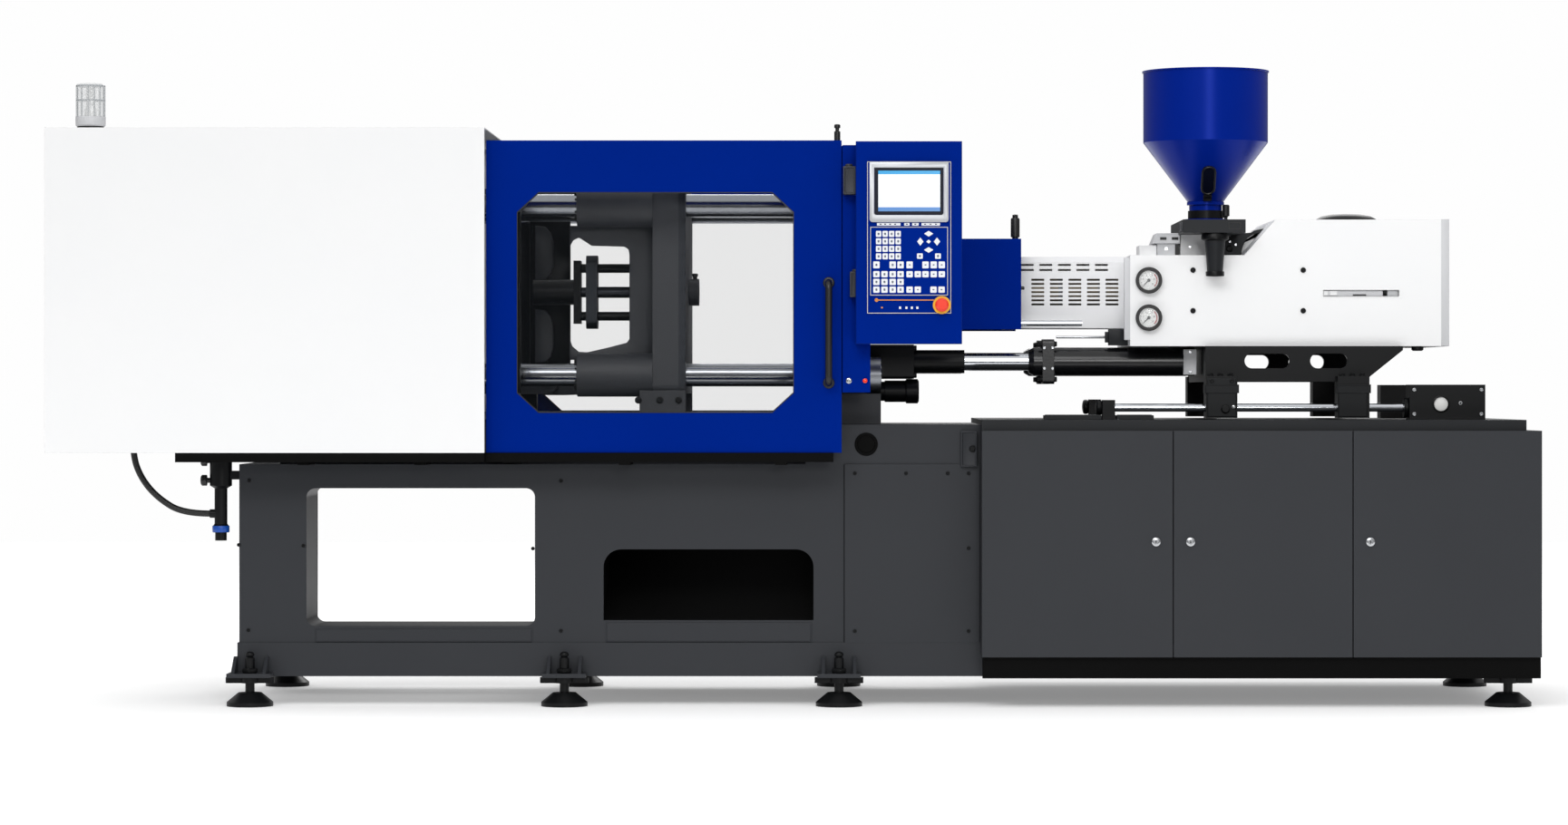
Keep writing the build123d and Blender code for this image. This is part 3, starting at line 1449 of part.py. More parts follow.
with BuildPart() as barrel_cover:
    with BuildSketch(side(barrel_cover_left)):
        outline_face(cover_section(0))
    extrude(amount=housing_left - barrel_cover_left)
    with BuildSketch(side(barrel_cover_left)):
        outline_face(cover_section(barrel_cover_sheet))
    extrude(amount=housing_left - barrel_cover_left, mode=Mode.SUBTRACT)
    with BuildSketch(Plane.XZ):
        slots_middle = slot_first_x + slot_pitch * (slot_columns - 1) / 2
        with Locations((slots_middle, slot_middle_z)):
            with GridLocations(slot_pitch, slot_row_pitch, slot_columns, slot_rows):
                Rectangle(slot_width, slot_height)
        upper_slots_middle = upper_slot_first_x + slot_pitch * (slot_columns - 1) / 2
        with Locations((upper_slots_middle, upper_slot_middle_z)):
            with GridLocations(slot_pitch, upper_slot_row_pitch, slot_columns, upper_slot_rows):
                Rectangle(slot_width, slot_height)
    extrude(amount=barrel_cover_half, both=True, mode=Mode.SUBTRACT)
barrel_cover.part.label = "barrel_cover"
export_step(barrel_cover.part, "parts/barrel_cover.step")

# Nozzle guard: folded sheet on four shoes that run on the short guide rods
with BuildPart() as nozzle_guard:
    block(nozzle_guard_left, nozzle_guard_right, -nozzle_guard_half, nozzle_guard_half, nozzle_guard_bottom,
          nozzle_guard_top)
    block(nozzle_guard_left, nozzle_guard_right, nozzle_guard_sheet - nozzle_guard_half,
          nozzle_guard_half - nozzle_guard_sheet, nozzle_guard_bottom, nozzle_guard_top - nozzle_guard_sheet,
          mode=Mode.SUBTRACT)
    for shoe_x in (nozzle_guard_left, nozzle_guard_right - guard_shoe_length):
        mirrored_blocks(shoe_x, shoe_x + guard_shoe_length, guard_rod_y - guard_shoe_half,
                        nozzle_guard_half - guard_shoe_gap, guard_rod_z - guard_shoe_half,
                        guard_rod_z + guard_shoe_half)
        for hand in (-1, 1):
            bar(shoe_x, shoe_x + guard_shoe_length, hand * guard_rod_y, guard_rod_z, guard_rod_radius + running,
                mode=Mode.SUBTRACT)
    turned_along_z((
        (0, nozzle_guard_top),
        (guard_knob_stem_radius, nozzle_guard_top),
        (guard_knob_stem_radius, nozzle_guard_top + guard_knob_stem_height),
        (guard_knob_radius, nozzle_guard_top + guard_knob_stem_height + guard_knob_flare),
        (guard_knob_radius, nozzle_guard_top + guard_knob_height - guard_knob_bevel),
        (guard_knob_radius - guard_knob_bevel, nozzle_guard_top + guard_knob_height),
        (0, nozzle_guard_top + guard_knob_height),
    ), guard_knob_x, guard_knob_y)
nozzle_guard.part.label = "nozzle_guard"
export_step(nozzle_guard.part, "parts/nozzle_guard.step")

# Hopper: spun shell, a cylinder over a cone with a short flanged neck
with BuildPart() as hopper:
    wall = hopper_wall
    turned_along_z((
        (hopper_radius + hopper_rim_width, hopper_rim - hopper_rim_height),
        (hopper_radius + hopper_rim_width, hopper_rim),
        (hopper_radius - wall, hopper_rim),
        (hopper_radius - wall, hopper_shoulder),
        (hopper_outlet_radius - wall, hopper_outlet),
        (hopper_neck_radius - wall, hopper_outlet),
        (hopper_neck_radius - wall, slide_base_top + seat_gap),
        (hopper_shoe_radius, slide_base_top + seat_gap),
        (hopper_shoe_radius, slide_base_top + hopper_shoe_height),
        (hopper_neck_radius, slide_base_top + hopper_shoe_height),
        (hopper_neck_radius, hopper_outlet - hopper_flange_thickness),
        (hopper_outlet_radius + hopper_flange_width, hopper_outlet - hopper_flange_thickness),
        (hopper_outlet_radius + hopper_flange_width, hopper_outlet),
        (hopper_outlet_radius, hopper_outlet),
        (hopper_radius, hopper_shoulder),
        (hopper_radius, hopper_rim - hopper_rim_height),
    ), hopper_x, 0)
hopper.part.label = "hopper"
export_step(hopper.part, "parts/hopper.step")

# Slide base under the hopper, with the discharge tube at its front end
with BuildPart() as hopper_base:
    with BuildSketch(Plane.XY.offset(throat_top)) as hopper_base_edge:
        rectangle(slide_base_left, slide_base_right, slide_base_front, slide_base_back)
        chamfer(hopper_base_edge.sketch.vertices(), length=slide_base_corner)
        with Locations((hopper_x, 0)):
            Circle(hopper_neck_radius - hopper_wall, mode=Mode.SUBTRACT)
        with Locations((hopper_x, discharge_y)):
            Circle(discharge_radius - discharge_wall, mode=Mode.SUBTRACT)
    extrude(amount=slide_base_top - throat_top)
    turned_along_z((
        (discharge_tip_radius - discharge_wall, discharge_bottom),
        (discharge_tip_radius, discharge_bottom),
        (discharge_radius, throat_top),
        (discharge_radius - discharge_wall, throat_top),
    ), hopper_x, discharge_y)
hopper_base.part.label = "hopper_base"
export_step(hopper_base.part, "parts/hopper_base.step")

# Filter unit on the bed's left end
with BuildPart() as filter_unit:
    turned_along_z((
        (0, filter_bottom),
        (filter_drain_radius, filter_bottom),
        (filter_drain_radius, filter_bottom + filter_drain_height),
        (filter_bowl_radius, filter_bottom + filter_drain_height),
        (filter_bowl_radius, filter_bottom + filter_bowl_height),
        (filter_neck_radius, filter_bottom + filter_bowl_height + filter_neck_bevel),
        (filter_neck_radius, filter_bottom + filter_neck_height),
        (filter_radius, filter_bottom + filter_neck_height + filter_head_bevel),
        (filter_radius, filter_top - filter_cap_height),
        (filter_radius - filter_cap_bevel, filter_top),
        (0, filter_top),
    ), filter_x, filter_y)
    block(filter_x, bed_left, filter_y - filter_lug_half, filter_y + filter_lug_half,
          filter_top - filter_lug_top - filter_lug_height, filter_top - filter_lug_top)
    bar(hose_route[-1][0], filter_x, filter_y, hose_route[-1][2], hose_radius + hose_socket_wall)
filter_unit.part.label = "filter_unit"
export_step(filter_unit.part, "parts/filter_unit.step")


# Hose from the cover down to the filter unit: straight runs joined by arcs as large as the runs allow

def hose_radii(points):
    """The arc at each inner point: 0.45 of its shorter run, divided by the tangent of half the turn."""
    places = [Vector(*point) for point in points]
    radii = []
    for before, here, after in zip(places, places[1:], places[2:]):
        arriving, leaving = here - before, after - here
        half_turn = radians(arriving.get_angle(leaving)) / 2
        radii.append(0.45 * min(arriving.length, leaving.length) * cos(half_turn) / sin(half_turn))
    return radii


with BuildPart() as hose:
    with BuildLine() as hose_path:
        FilletPolyline(*hose_route, radius=hose_radii(hose_route))
    with BuildSketch(Plane(origin=hose_path.line @ 0, z_dir=hose_path.line % 0)):
        Circle(hose_radius)
    sweep()
hose.part.label = "hose"
export_step(hose.part, "parts/hose.step")
print("hose arcs:", [round(radius) for radius in hose_radii(hose_route)], "length:",
      round(hose_path.wires()[0].length))
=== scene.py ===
# %% [markdown]
# A horizontal injection moulding machine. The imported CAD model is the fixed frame: it already holds every
# main form at its real size. This lesson dresses it: it gives each form a finish that behaves like the
# real one, and adds the small pieces that make a machine believable, such as keys, dials and screws.

# %% Load the frame
from math import cos, pi, radians, sin

import bpy
from mathutils import Matrix, Vector


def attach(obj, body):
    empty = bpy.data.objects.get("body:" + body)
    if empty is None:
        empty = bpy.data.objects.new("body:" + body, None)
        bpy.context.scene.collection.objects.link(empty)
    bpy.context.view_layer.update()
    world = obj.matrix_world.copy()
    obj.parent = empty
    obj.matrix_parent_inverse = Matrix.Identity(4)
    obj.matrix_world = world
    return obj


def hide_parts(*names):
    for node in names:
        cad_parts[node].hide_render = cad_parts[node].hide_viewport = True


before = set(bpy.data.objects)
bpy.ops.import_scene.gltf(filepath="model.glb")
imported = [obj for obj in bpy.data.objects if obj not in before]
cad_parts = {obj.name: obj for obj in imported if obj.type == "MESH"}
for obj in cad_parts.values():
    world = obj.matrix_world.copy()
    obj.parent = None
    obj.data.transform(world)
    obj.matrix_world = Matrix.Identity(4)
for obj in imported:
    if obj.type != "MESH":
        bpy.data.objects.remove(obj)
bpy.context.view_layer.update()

# %% [markdown]
# The camera comes first, because every later choice is judged through it. The machine is seen square from
# the operator's side, from far away, so its lines stay nearly parallel. The lens is a long one, and the
# small shift slides the picture so that the point straight ahead sits left of the middle and above it.

# %% The camera
CAMERA_PLACE = (0.136, -15.1, 1.088)
SENSOR_MM, LENS_MM = 36, 97.4
PICTURE_WIDTH_PX = 1729
SHIFT_PX = (-55.5, -25.0)
FAR_CLIP = 200
put_camera = bpy.data.cameras.new("studio_camera")
put_camera.sensor_width = SENSOR_MM
put_camera.lens = LENS_MM
put_camera.shift_x = SHIFT_PX[0] / PICTURE_WIDTH_PX
put_camera.shift_y = SHIFT_PX[1] / PICTURE_WIDTH_PX
put_camera.clip_end = FAR_CLIP
camera = bpy.data.objects.new("studio_camera", put_camera)
camera.location = CAMERA_PLACE
camera.rotation_euler = (radians(90), 0, 0)
bpy.context.scene.collection.objects.link(camera)
bpy.context.scene.camera = camera
bpy.context.scene.view_settings.view_transform = "Standard"
print("camera stands", round(-CAMERA_PLACE[1], 2), "m in front of the middle of the machine")

# %% [markdown]
# The black hose is a length of rubber that leaves the clamp cover, hangs in one easy bow and enters the
# filter unit. A NURBS curve with the hose's own route as control points gives that even sag; its order is
# set after the points, or the curve would stay a chain of straight runs.

# %% The hose
HOSE_ROUTE = (
    (-2.290, -0.430, 0.945), (-2.290, -0.430, 0.862), (-2.262, -0.430, 0.784),
    (-2.206, -0.430, 0.716), (-2.116, -0.430, 0.660), (-2.023, -0.430, 0.660),
)
HOSE_RADIUS = 0.011
hose_curve = bpy.data.curves.new("rubber_hose", "CURVE")
hose_curve.dimensions = "3D"
hose_line = hose_curve.splines.new("NURBS")
hose_line.points.add(len(HOSE_ROUTE) - 1)
for point, place in zip(hose_line.points, HOSE_ROUTE):
    point.co = (*place, 1)
hose_line.order_u = 3
hose_line.use_endpoint_u = True
hose_line.resolution_u = 12
hose_curve.bevel_depth = HOSE_RADIUS
hose_curve.bevel_resolution = 6
hose_curve.use_fill_caps = True
hose = bpy.data.objects.new("rubber_hose", hose_curve)
bpy.context.scene.collection.objects.link(hose)
print("hose with", len(HOSE_ROUTE), "control points")

# %% [markdown]
# Colours are written as sRGB hex, the way a paint chart gives them, and one function turns them into the
# linear light values that shaders work in. One more function adds any node with its settings and links.
# Most finishes below do three things with a pattern: blend two colours, vary the gloss and raise the surface.

# %% Colour and node helpers
MM = 0.001
# a mix node names its number and colour sockets alike, so its colour sockets go by their places
COLOUR_A, COLOUR_B, MIXED_COLOUR = 6, 7, 2


def linear(hex_colour):
    """An sRGB hex colour as linear red, green, blue and full opacity."""
    parts = [int(hex_colour[i:i + 2], 16) / 255 for i in (1, 3, 5)]
    return (*[p / 12.92 if p <= 0.04045 else ((p + 0.055) / 1.055) ** 2.4 for p in parts], 1.0)


def add_node(tree, kind, inputs=None, **settings):
    """Adds a node, sets its options, and fills each input from a value or from another node's output."""
    made = tree.nodes.new(kind)
    for option, value in settings.items():
        setattr(made, option, value)
    for socket, source in (inputs or {}).items():
        if isinstance(source, bpy.types.NodeSocket):
            tree.links.new(source, made.inputs[socket])
        else:
            made.inputs[socket].default_value = source
    return made


def start_material(name, slot, hex_colour, **sockets):
    """A material with its shader's own sockets set; the slot argument is not used."""
    material = bpy.data.materials.new(name)
    material.use_nodes = True
    shader = material.node_tree.nodes["Principled BSDF"]
    shader.inputs["Base Color"].default_value = linear(hex_colour)
    for socket, value in sockets.items():
        shader.inputs[socket.replace("_", " ")].default_value = value
    material.diffuse_color = linear(hex_colour)
    return material, material.node_tree, shader


def pattern_of(tree, scale, detail, where=None):
    """Noise in the object's own space; scale is one over the size of a lump."""
    where = where or add_node(tree, "ShaderNodeTexCoord").outputs["Object"]
    return add_node(tree, "ShaderNodeTexNoise", {"Vector": where, "Scale": scale, "Detail": detail}).outputs["Fac"]


def blend(tree, factor, first_hex, second_hex):
    """The colour between two paints, by a factor."""
    mix = add_node(tree, "ShaderNodeMix", {"Factor": factor}, data_type="RGBA")
    mix.inputs[COLOUR_A].default_value = linear(first_hex)
    mix.inputs[COLOUR_B].default_value = linear(second_hex)
    return mix.outputs[MIXED_COLOUR]


def vary_gloss(tree, shader, pattern, low, high):
    """Lets a pattern vary the roughness between two values."""
    sheen = add_node(tree, "ShaderNodeMapRange", {"Value": pattern, "To Min": low, "To Max": high})
    tree.links.new(sheen.outputs["Result"], shader.inputs["Roughness"])


def raise_surface(tree, shader, pattern, depth_mm, **sockets):
    """Lets a pattern raise the surface."""
    bump = add_node(tree, "ShaderNodeBump", {"Height": pattern, "Distance": depth_mm * MM, **sockets})
    tree.links.new(bump.outputs["Normal"], shader.inputs["Normal"])


print("helpers ready")

# %% [markdown]
# Most of the machine is coated sheet steel. Powder is sprayed on dry and baked, and it flows out with a
# faint ripple called orange peel, a few millimetres from crest to crest and only hundredths deep. The
# ripple is drawn a little wider than real, or it would vanish at this distance. Broad, very weak clouds
# in colour and gloss stand for uneven film thickness. A rounding shader node lights the folded edges.

# %% Coated sheet steel
CLOUD_SIZE = 0.35


def coated(name, slot, hex_colour, cloud_hex, gloss, ripple_mm=9.0, ripple_depth_mm=0.05, edge_mm=2.0, **sockets):
    """A baked coating: gloss gives the lowest and highest roughness of its clouds."""
    material, tree, shader = start_material(name, slot, hex_colour, **sockets)
    where = add_node(tree, "ShaderNodeTexCoord").outputs["Object"]
    clouds = pattern_of(tree, 1 / CLOUD_SIZE, 3.0, where)
    tree.links.new(blend(tree, clouds, hex_colour, cloud_hex), shader.inputs["Base Color"])
    vary_gloss(tree, shader, clouds, *gloss)
    ripple = pattern_of(tree, 1 / (ripple_mm * MM), 1.0, where)
    rounding = add_node(tree, "ShaderNodeBevel", {"Radius": edge_mm * MM}, samples=4)
    raise_surface(tree, shader, ripple, ripple_depth_mm, Strength=1.0, Normal=rounding.outputs["Normal"])
    return material


# white powder coat on the big covers: near white, with a soft even shine
white_coat = coated("white_powder_coat", "white_paint", "#F3F3F3", "#EFF0F1", (0.34, 0.42))
# the housing gets a brighter copy of the white coat: painted light that lifts it, standing back in the shade of the
# control box, to the cover's white
housing_white_painted_light = coated("white_powder_coat_with_painted_light", "white_paint", "#FBFBFB", "#F7F8F9", (0.34, 0.42))
# deep blue powder coat on doors, guards and panel: strong colour under a clear soft highlight
blue_coat = coated("blue_powder_coat", "blue_paint", "#002383", "#00207A", (0.36, 0.46), ripple_depth_mm=0.04,
                   Specular_IOR_Level=0.2, Specular_Tint=linear("#2A48FF"))
# the spun hopper has the same paint, laid thinner and shinier
hopper_coat = coated("hopper_blue_coat", "blue_paint", "#002390", "#001F84", (0.27, 0.33),
                     Specular_IOR_Level=0.6, Specular_Tint=linear("#5A74FF"))
# slate grey structure paint on the bed and the cabinet: satin, slightly blue
slate_coat = coated("slate_structure_paint", "bed_paint", "#303236", "#2D2F33", (0.42, 0.52),
                    Specular_IOR_Level=0.25)
# light grey coat on the screw drive, the lamp's base and small covers
pale_coat = coated("pale_grey_coat", "light_grey_paint", "#D3D4D6", "#CDCED1", (0.36, 0.44))
# the light grey made nearly white on the perforated barrel cover: painted light that lifts it out of the shade of
# the control box and the guard
barrel_painted_light = coated("barrel_grey_with_painted_light", "light_grey_paint", "#F6F6F7", "#F1F2F3", (0.36, 0.44))
# black enamel on brackets, cylinders and feet: deep and semi-gloss
black_coat = coated("black_gloss_enamel", "black_enamel", "#0B0C0D", "#0F1012", (0.32, 0.42),
                    Specular_IOR_Level=0.2)
# graphite coats: one step lighter than the enamel on the slide blocks, two steps on the hopper base and table
block_coat = coated("dark_graphite_coat", "black_enamel", "#141618", "#111315", (0.38, 0.48),
                    Specular_IOR_Level=0.22)
graphite_coat = coated("graphite_coat", "black_enamel", "#1F2124", "#1B1D20", (0.38, 0.48), Specular_IOR_Level=0.25)
# the carriage cylinders are sprayed with full gloss black, which mirrors the bright ceiling
cylinder_coat = coated("full_gloss_black_enamel", "black_enamel", "#101114", "#0C0D0F", (0.20, 0.28),
                       Specular_IOR_Level=0.5)
# near-black paint on the chute, the door rails, the cable ring and the kick strip; on the chute it also paints the
# shade inside its mouth, and on the kick strip the shade under the cabinet doors
black_and_shade_coat = coated("dead_black_and_painted_shade", "black_enamel", "#040404", "#060606", (0.6, 0.7), Specular_IOR_Level=0.08)

# %% [markdown]
# The platens and links are iron castings. Sand leaves a skin of small lumps, and the paint over it is matt.
# The same recipe gives that skin, with a closer and much deeper ripple and wider rounding of the edges.

# %% Painted castings
platen_paint = coated("casting_grey_paint", "cast_grey", "#33353A", "#2A2C30", (0.48, 0.62), ripple_mm=6.0,
                      ripple_depth_mm=0.35, edge_mm=4.0)
link_paint = coated("link_casting_paint", "link_iron", "#3F4146", "#33353A", (0.42, 0.55), ripple_mm=5.0,
                    ripple_depth_mm=0.25, edge_mm=3.0)

# %% [markdown]
# Hard chrome and ground steel are bare metal. Grinding leaves fine lines that run round or along the
# piece. They are stretched noise: fine across the grinding direction and long along it. Burnished and
# plated steel have no direction, so their noise isn't stretched.

# %% Bare metals
GRINDING_DEPTH_MM = 0.01


def ground_metal(name, slot, hex_colour, gloss, stretch, line_mm=1.5, **sockets):
    """Bare metal with grinding lines; stretch says how the noise is scaled along X, Y and Z."""
    material, tree, shader = start_material(name, slot, hex_colour, Metallic=1.0, **sockets)
    where = add_node(tree, "ShaderNodeTexCoord").outputs["Object"]
    laid = add_node(tree, "ShaderNodeMapping", {"Vector": where, "Scale": stretch}).outputs["Vector"]
    grinding = pattern_of(tree, 1 / (line_mm * MM), 2.0, laid)
    vary_gloss(tree, shader, grinding, *gloss)
    raise_surface(tree, shader, grinding, GRINDING_DEPTH_MM)
    return material


# hard chrome on tie bars and rods: almost a mirror, with faint lines round the bar
hard_chrome = ground_metal("hard_chrome", "chrome", "#C9CCD1", (0.06, 0.14), (1.0, 0.02, 0.02), line_mm=6.0)
# the tie bars get a darker, rougher copy of the chrome: the darker colour paints the shade inside the guarded clamp,
# where less light from above reaches them
shaded_bar_chrome = ground_metal("chrome_with_painted_shade", "chrome", "#8E9196", (0.14, 0.24), (1.0, 0.02, 0.02), line_mm=6.0)
# ground steel on rails, nuts and ejector: duller, with lines along the machine
ground_steel = ground_metal("ground_steel", "steel", "#8D9095", (0.28, 0.42), (0.03, 1.0, 1.0), line_mm=3.0)
# burnished steel on the ejector: nearly black, with a soft shine
burnished_steel = ground_metal("burnished_steel", "steel", "#3A3C40", (0.34, 0.48), (1.0, 1.0, 1.0), line_mm=3.0)
# nickel-plated screw heads and locks
plated_steel = ground_metal("plated_steel", "steel", "#C4C6C9", (0.18, 0.28), (1.0, 1.0, 1.0), line_mm=1.0)
# the heater bands have a warm tone from heat
heater_steel = ground_metal("heater_band_steel", "band_steel", "#9A8F7E", (0.35, 0.5), (0.05, 1.0, 1.0),
                            line_mm=3.0)
print("metals made")

# %% [markdown]
# Moulded plastic and rubber have a fine spark-eroded grain from their tool. Glossy buttons have none.
# The safety pane is clear polycarbonate: thin and flat, so it needs no bending of light, only a weak tint
# and a reflection. Making it mostly see-through also lets the light fall on the clamp behind it.

# %% Plastics, rubber and panes
# how far the grain lowers and raises the roughness
SMOOTHER, ROUGHER = 0.05, 0.07


def moulded(name, slot, hex_colour, roughness, grain_mm=1.2, grain_depth_mm=0.04, **sockets):
    """Moulded plastic or rubber with an even grain."""
    material, tree, shader = start_material(name, slot, hex_colour, **sockets)
    grain = pattern_of(tree, 1 / (grain_mm * MM), 2.0)
    vary_gloss(tree, shader, grain, roughness - SMOOTHER, roughness + ROUGHER)
    raise_surface(tree, shader, grain, grain_depth_mm)
    return material


# handles, knobs and seals are black nylon, and the hose is rubber
black_plastic = moulded("black_moulded_nylon", "black_plastic", "#141415", 0.38)
hose_rubber = moulded("hose_rubber", "rubber_hose", "#131313", 0.5, grain_mm=2.0)
# the display has a silver bezel round dark glass
bezel_plastic = moulded("silver_moulded_abs", "bezel_plastic", "#C2C4C8", 0.34, Metallic=0.35)
dark_bezel = moulded("dark_moulded_abs", "black_plastic", "#090D1E", 0.3, Specular_IOR_Level=0.2)
# the keypad is one blue foil with white keys, printed with ink
foil_blue = moulded("blue_keypad_foil", "membrane", "#002383", 0.42, Specular_IOR_Level=0.2,
                    Specular_Tint=linear("#2A48FF"))
key_white = moulded("white_key_foil", "bezel_plastic", "#EEF0F3", 0.4)
key_ink = moulded("key_ink", "membrane", "#0A1A55", 0.45)
outline_ink = moulded("panel_outline_ink", "bezel_plastic", "#C9C6BD", 0.4)
# the emergency stop is glossy red in a yellow collar, over an orange marking foil
stop_red = moulded("red_gloss_abs", "stop_red", "#F2330A", 0.22, grain_depth_mm=0.0, Coat_Weight=0.4)
slot_orange = moulded("orange_marking_foil", "stop_red", "#D98A3A", 0.4)
collar_yellow = moulded("yellow_gloss_abs", "stop_red", "#F2B300", 0.28, grain_depth_mm=0.0)
# the filter has a blue ring
ring_blue = moulded("blue_ring_nylon", "membrane", "#0A4AA8", 0.35)
# the gauges have white enamelled dials, printed in black and red
dial_white = moulded("dial_white_enamel", "bezel_plastic", "#F5F5F3", 0.5)
dial_ink = moulded("dial_black_ink", "needle_black", "#101010", 0.5)
dial_red = moulded("dial_red_ink", "stop_red", "#C8201A", 0.5)
# panes, gauge glasses and the lamp's drum let most light through; the drum's moulded edges look grey
pane_clear = moulded("clear_polycarbonate", "clear_pane", "#30353A", 0.06, grain_depth_mm=0.0, Alpha=0.055)
gauge_glass = moulded("gauge_glass", "clear_pane", "#E8ECEE", 0.05, grain_depth_mm=0.0, Alpha=0.12)
lens_clear = moulded("lens_polycarbonate", "lamp_clear", "#F4F6F7", 0.12, grain_depth_mm=0.0, Alpha=0.42)
lens_line = moulded("lens_moulded_edge", "lamp_clear", "#A9ADB0", 0.3)
print("plastics made")

# %% [markdown]
# The display glows by itself. Its picture is a plain page with a heading bar and a foot bar, so each
# colour is a small material with some emission, and the page fades a little towards its lower edge.

# %% The display's colours
PAGE_LOW, PAGE_TOP = 1.68, 1.85
PAGE_FADE = 0.25


def lit(name, hex_colour, strength):
    """A glowing display colour with a weak fade from top to bottom."""
    material, tree, shader = start_material(name, "screen_glass", hex_colour, Roughness=0.2,
                                            Emission_Strength=strength)
    where = add_node(tree, "ShaderNodeTexCoord").outputs["Object"]
    height = add_node(tree, "ShaderNodeSeparateXYZ", {"Vector": where}).outputs["Z"]
    fade = add_node(tree, "ShaderNodeMapRange", {"Value": height, "From Min": PAGE_LOW, "From Max": PAGE_TOP,
                                                 "To Min": PAGE_FADE, "To Max": 0.0})
    tint = blend(tree, fade.outputs["Result"], hex_colour, "#A9C4DC")
    tree.links.new(tint, shader.inputs["Base Color"])
    tree.links.new(tint, shader.inputs["Emission Color"])
    return material


page_white = lit("display_page", "#F4F8FB", 0.12)
heading_blue = lit("display_heading", "#1E9FDC", 0.10)
foot_blue = lit("display_foot", "#1172C2", 0.10)
print("display colours made")

# %% [markdown]
# Every CAD piece whose form is already right keeps its mesh and only gets its finish, through its own
# material slots.

# %% Dress the CAD pieces
FINISHES = {
    slate_coat: ("bed", "access_panel", "cabinet", "cabinet_door_1", "cabinet_door_2", "cabinet_door_3"),
    black_coat: ("foot_pads", "foot_screws", "rod_brackets", "carriage_frame", "clamp_cylinder",
                 "ejector_cylinder", "filter_unit"),
    cylinder_coat: ("carriage_cylinders",),
    graphite_coat: ("hopper_base", "table_plate"),
    # the chute's near-black also paints the shade inside its mouth
    black_and_shade_coat: ("parts_chute", "door_rails"),
    white_coat: ("clamp_cover",),
    # the housing's brighter white is painted light
    housing_white_painted_light: ("injection_housing",),
    blue_coat: ("front_door", "rear_door", "fixed_guards", "control_box", "control_panel", "nozzle_guard"),
    hopper_coat: ("hopper",),
    pale_coat: ("thrust_unit", "lamp_base"),
    # the barrel cover's near-white is painted light
    barrel_painted_light: ("barrel_cover",),
    platen_paint: ("stationary_platen", "moving_platen", "tail_platen"),
    link_paint: ("upper_rear_link", "lower_rear_link", "upper_front_link", "lower_front_link",
                 "upper_crosshead_link", "lower_crosshead_link", "crosshead"),
    # the tie bars' darker chrome is painted shade
    shaded_bar_chrome: ("tie_bars",),
    hard_chrome: ("guide_rods", "carriage_rods"),
    ground_steel: ("bed_rails", "tie_bar_nuts", "barrel", "screw"),
    burnished_steel: ("ejector_plate",),
    heater_steel: ("heater_bands",),
    black_plastic: ("front_handle", "pressure_gauges"),
    pane_clear: ("front_pane", "rear_pane"),
    lens_clear: ("lamp_lens",),
    dark_bezel: ("screen",),
    foil_blue: ("keypad",),
    stop_red: ("emergency_stop",),
    dial_ink: ("upper_needle", "lower_needle"),
    hose_rubber: ("hose",),
}


def dress(node, material):
    """Puts a material in every slot of a CAD piece."""
    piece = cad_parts[node]
    if not piece.material_slots:
        piece.data.materials.append(material)
    for place in piece.material_slots:
        place.material = material


for finish_material, nodes in FINISHES.items():
    for node in nodes:
        dress(node, finish_material)
hose_curve.materials.append(hose_rubber)
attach(hose, "frame")
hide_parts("hose")
print("dressed", sum(len(nodes) for nodes in FINISHES.values()), "CAD pieces")

# %% [markdown]
# The small pieces are modelled as by hand: a primitive is added at its size and place, opened in edit mode,
# and shaped by inset, extrude and resize. These helpers do the steps that every piece shares. An operator
# acts on all that is selected, so each one starts by deselecting everything.

# %% Modelling helpers
OUT, BACK, UP, DOWN, LEFT, RIGHT = (0, -1, 0), (0, 1, 0), (0, 0, 1), (0, 0, -1), (-1, 0, 0), (1, 0, 0)
# a face looks along a direction when the cosine between them is above this
ALIGNED = 0.99
# edges sharper than the first angle get rounded, and shading runs smoothly over edges flatter than the second
ROUNDED_FROM, SMOOTH_BELOW = radians(40), radians(35)


def put_away():
    """Leaves edit mode and deselects everything."""
    if bpy.context.object and bpy.context.object.mode != "OBJECT":
        bpy.ops.object.mode_set(mode="OBJECT")
    bpy.ops.object.select_all(action="DESELECT")


def settle(name):
    """Names the new piece and moves its place, turn and size into its mesh."""
    if bpy.context.object.mode != "OBJECT":
        bpy.ops.object.mode_set(mode="OBJECT")
    bpy.ops.object.transform_apply(location=True, rotation=True, scale=True)
    piece = bpy.context.object
    piece.name = name
    piece.data.name = name
    return piece


def block(name, low, high):
    """A block between two corners."""
    put_away()
    bpy.ops.mesh.primitive_cube_add(size=1, location=[(a + b) / 2 for a, b in zip(low, high)],
                                    scale=[b - a for a, b in zip(low, high)])
    return settle(name)


def take_up(piece):
    """Selects one piece alone and makes it the active one."""
    put_away()
    piece.select_set(True)
    bpy.context.view_layer.objects.active = piece


def extrude(way):
    """Extrudes what is selected along X, Y and Z."""
    bpy.ops.mesh.extrude_region_move(TRANSFORM_OT_translate={"value": way})


def face_outwards():
    """Turns all faces of the open piece outwards."""
    bpy.ops.mesh.select_all(action="SELECT")
    bpy.ops.mesh.normals_make_consistent(inside=False)


def turned(name, rings, at=(0, 0, 0), along=UP, sides=32):
    """A turned piece: a disc, extruded and resized ring by ring. rings are pairs of radius and height."""
    put_away()
    radius, height = rings[0]
    bpy.ops.mesh.primitive_circle_add(vertices=sides, radius=radius, fill_type="NGON", location=(0, 0, height))
    bpy.ops.object.mode_set(mode="EDIT")
    for next_radius, next_height in rings[1:]:
        extrude((0, 0, next_height - height))
        bpy.ops.transform.resize(value=(next_radius / radius, next_radius / radius, 1),
                                 center_override=(0, 0, next_height))
        radius, height = next_radius, next_height
    face_outwards()
    piece = settle(name)
    piece.rotation_euler = Vector(along).to_track_quat("Z", "Y").to_euler()
    piece.location = at
    return settle(name)


